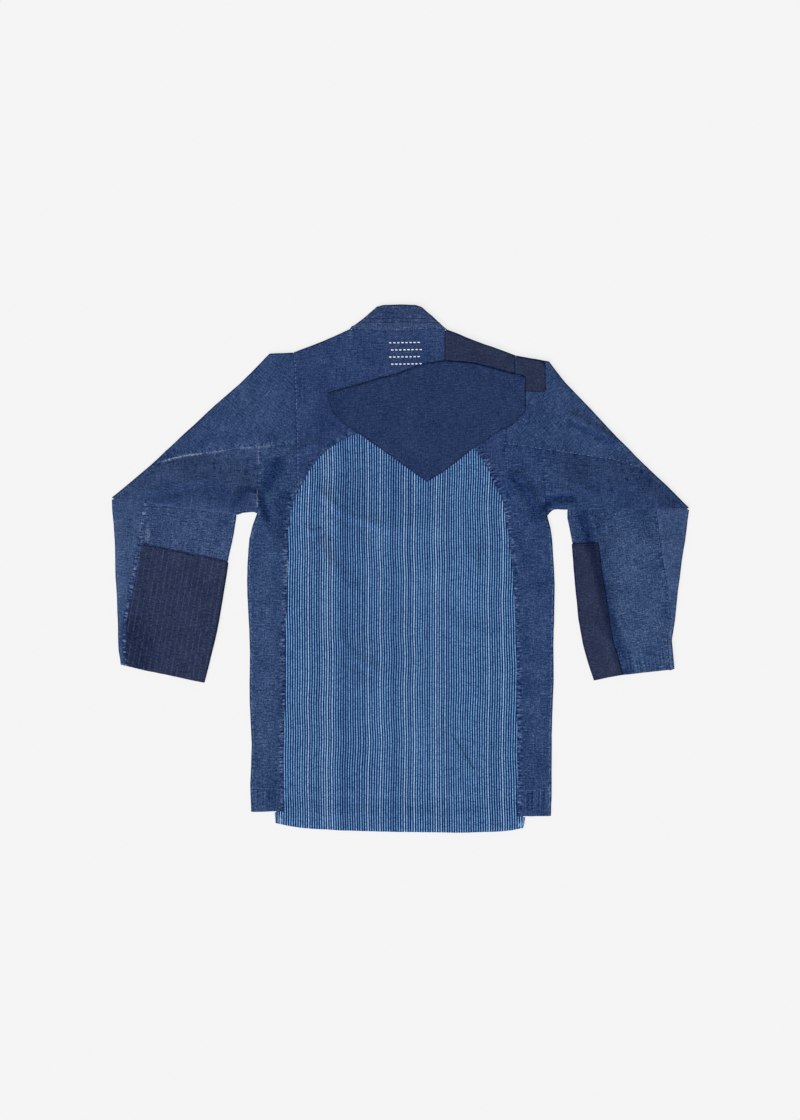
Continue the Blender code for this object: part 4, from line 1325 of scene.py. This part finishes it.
def sew(row):
    """One object of stitches from a row's lines, with the modifier turned into a plain mesh."""
    piece = lines_on_cloth("stitches_" + row.name, row.lines, row.thread)
    modifier = piece.modifiers.new("stitches", "NODES")
    modifier.node_group = row_of_stitches
    wanted = {
        "Pitch": row.pitch / 1000, "Stitch length": row.stitch / 1000,
        "Thread": row.thread / 1000, "Keep": row.keep, "Jitter": row.jitter,
        "Seed": row.seed, "Thread material": materials[row.material],
    }
    for item in row_of_stitches.interface.items_tree:
        if item.in_out == "INPUT" and item.name in wanted:
            modifier[item.identifier] = wanted[item.name]
    bpy.context.view_layer.update()
    ready = piece.evaluated_get(bpy.context.evaluated_depsgraph_get())
    mesh = bpy.data.meshes.new_from_object(ready)
    mesh.name = piece.name
    piece.modifiers.remove(modifier)
    piece.data = mesh
    work = bmesh.new()
    work.from_mesh(mesh)
    bmesh.ops.recalc_face_normals(work, faces=work.faces[:])
    for face in work.faces:
        face.material_index = 0
    work.to_mesh(mesh)
    work.free()
    mesh.materials.clear()
    mesh.materials.append(materials[row.material])
    mesh.shade_smooth()
    return piece


stitches = {row.name: sew(row) for row in ROWS}
for piece in stitches.values():
    print(piece.name, "triangles:", triangle_count([piece]))

# %% [markdown]
# ## Hand the pieces over
#
# Every shell stands for its solid, takes the material listed for it and moves with the jacket's one
# body.

# %% Cut sizes and slots
# Colour slot, material, flat width and length in metres, flat area, and what lies under it
Cut = namedtuple("Cut", "slot material width length area rests_on", defaults=((),))
FRONTS = ("front_left", "front_right")
CUTS = {
    "back_stripe_panel": Cut("kasuri_stripe", "kasuri_stripe", 0.388, 0.675, 0.225, FRONTS),
    "back_upper": Cut("mid_indigo", "indigo_back", 0.345, 0.272, 0.057, FRONTS),
    "collar_back": Cut("worn_indigo", "indigo_collar", 0.147, 0.080, 0.0086),
    "cuff_patch_left": Cut(
        "dark_navy", "navy_dashed", 0.27, 0.213, 0.0515, ("forearm_inner_left",)),
    "cuff_patch_right": Cut("dark_navy", "navy", 0.105, 0.213, 0.0195, ("forearm_inner_right",)),
    "elbow_tuck_left": Cut(
        "mid_indigo", "indigo_under_left", 0.119, 0.020, 0.0017, ("forearm_inner_left",)),
    "elbow_tuck_right": Cut(
        "mid_indigo", "indigo_under_right", 0.114, 0.020, 0.0016, ("forearm_inner_right",)),
    "forearm_inner_left": Cut("mid_indigo", "indigo_forearm_left", 0.30, 0.29, 0.077),
    "forearm_inner_right": Cut("mid_indigo", "indigo_forearm_right", 0.29, 0.293, 0.071),
    "forearm_outer_left": Cut("worn_indigo", "indigo_forearm_outer", 0.085, 0.257, 0.0118),
    "forearm_outer_right": Cut("worn_indigo", "indigo_forearm_outer", 0.090, 0.247, 0.0108),
    "front_band_left": Cut("mid_indigo", "indigo_back", 0.048, 0.742, 0.0338),
    "front_band_right": Cut("mid_indigo", "indigo_back", 0.048, 0.749, 0.0334),
    "front_left": Cut("mid_indigo", "indigo_back", 0.173, 0.733, 0.0907),
    "front_right": Cut("mid_indigo", "indigo_back", 0.179, 0.740, 0.0942),
    "shoulder_patch": Cut("dark_navy", "navy", 0.108, 0.066, 0.0037, ("back_upper",)),
    "side_panel_left": Cut("side_indigo", "indigo_side_left", 0.118, 0.568, 0.0575),
    "side_panel_right": Cut("side_indigo", "indigo_side_right", 0.120, 0.576, 0.061),
    "sleeve_head_patch": Cut("dark_navy", "navy", 0.044, 0.055, 0.00185, ("top_sleeve_right",)),
    "top_sleeve_left": Cut("mid_indigo", "indigo_sleeve_left", 0.29, 0.31, 0.0378),
    "top_sleeve_right": Cut("mid_indigo", "indigo_sleeve_right", 0.29, 0.31, 0.0378),
    "under_sleeve_left": Cut(
        "mid_indigo", "indigo_under_left", 0.205, 0.222, 0.031, ("elbow_tuck_left",)),
    "under_sleeve_right": Cut(
        "mid_indigo", "indigo_under_right", 0.205, 0.224, 0.0289, ("elbow_tuck_right",)),
    "yoke_patch": Cut(
        "yoke_indigo", "indigo_yoke", 0.306, 0.188, 0.0354, ("back_upper", "back_stripe_panel")),
}
for name, piece in cloth.items():
    cut = CUTS[name]
    piece.data.materials.clear()
    piece.data.materials.append(materials[cut.material])
    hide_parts(name)
    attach(piece, "root")
for name, piece in stitches.items():
    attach(piece, "root")
print("pieces handed over:", len(cloth) + len(stitches))
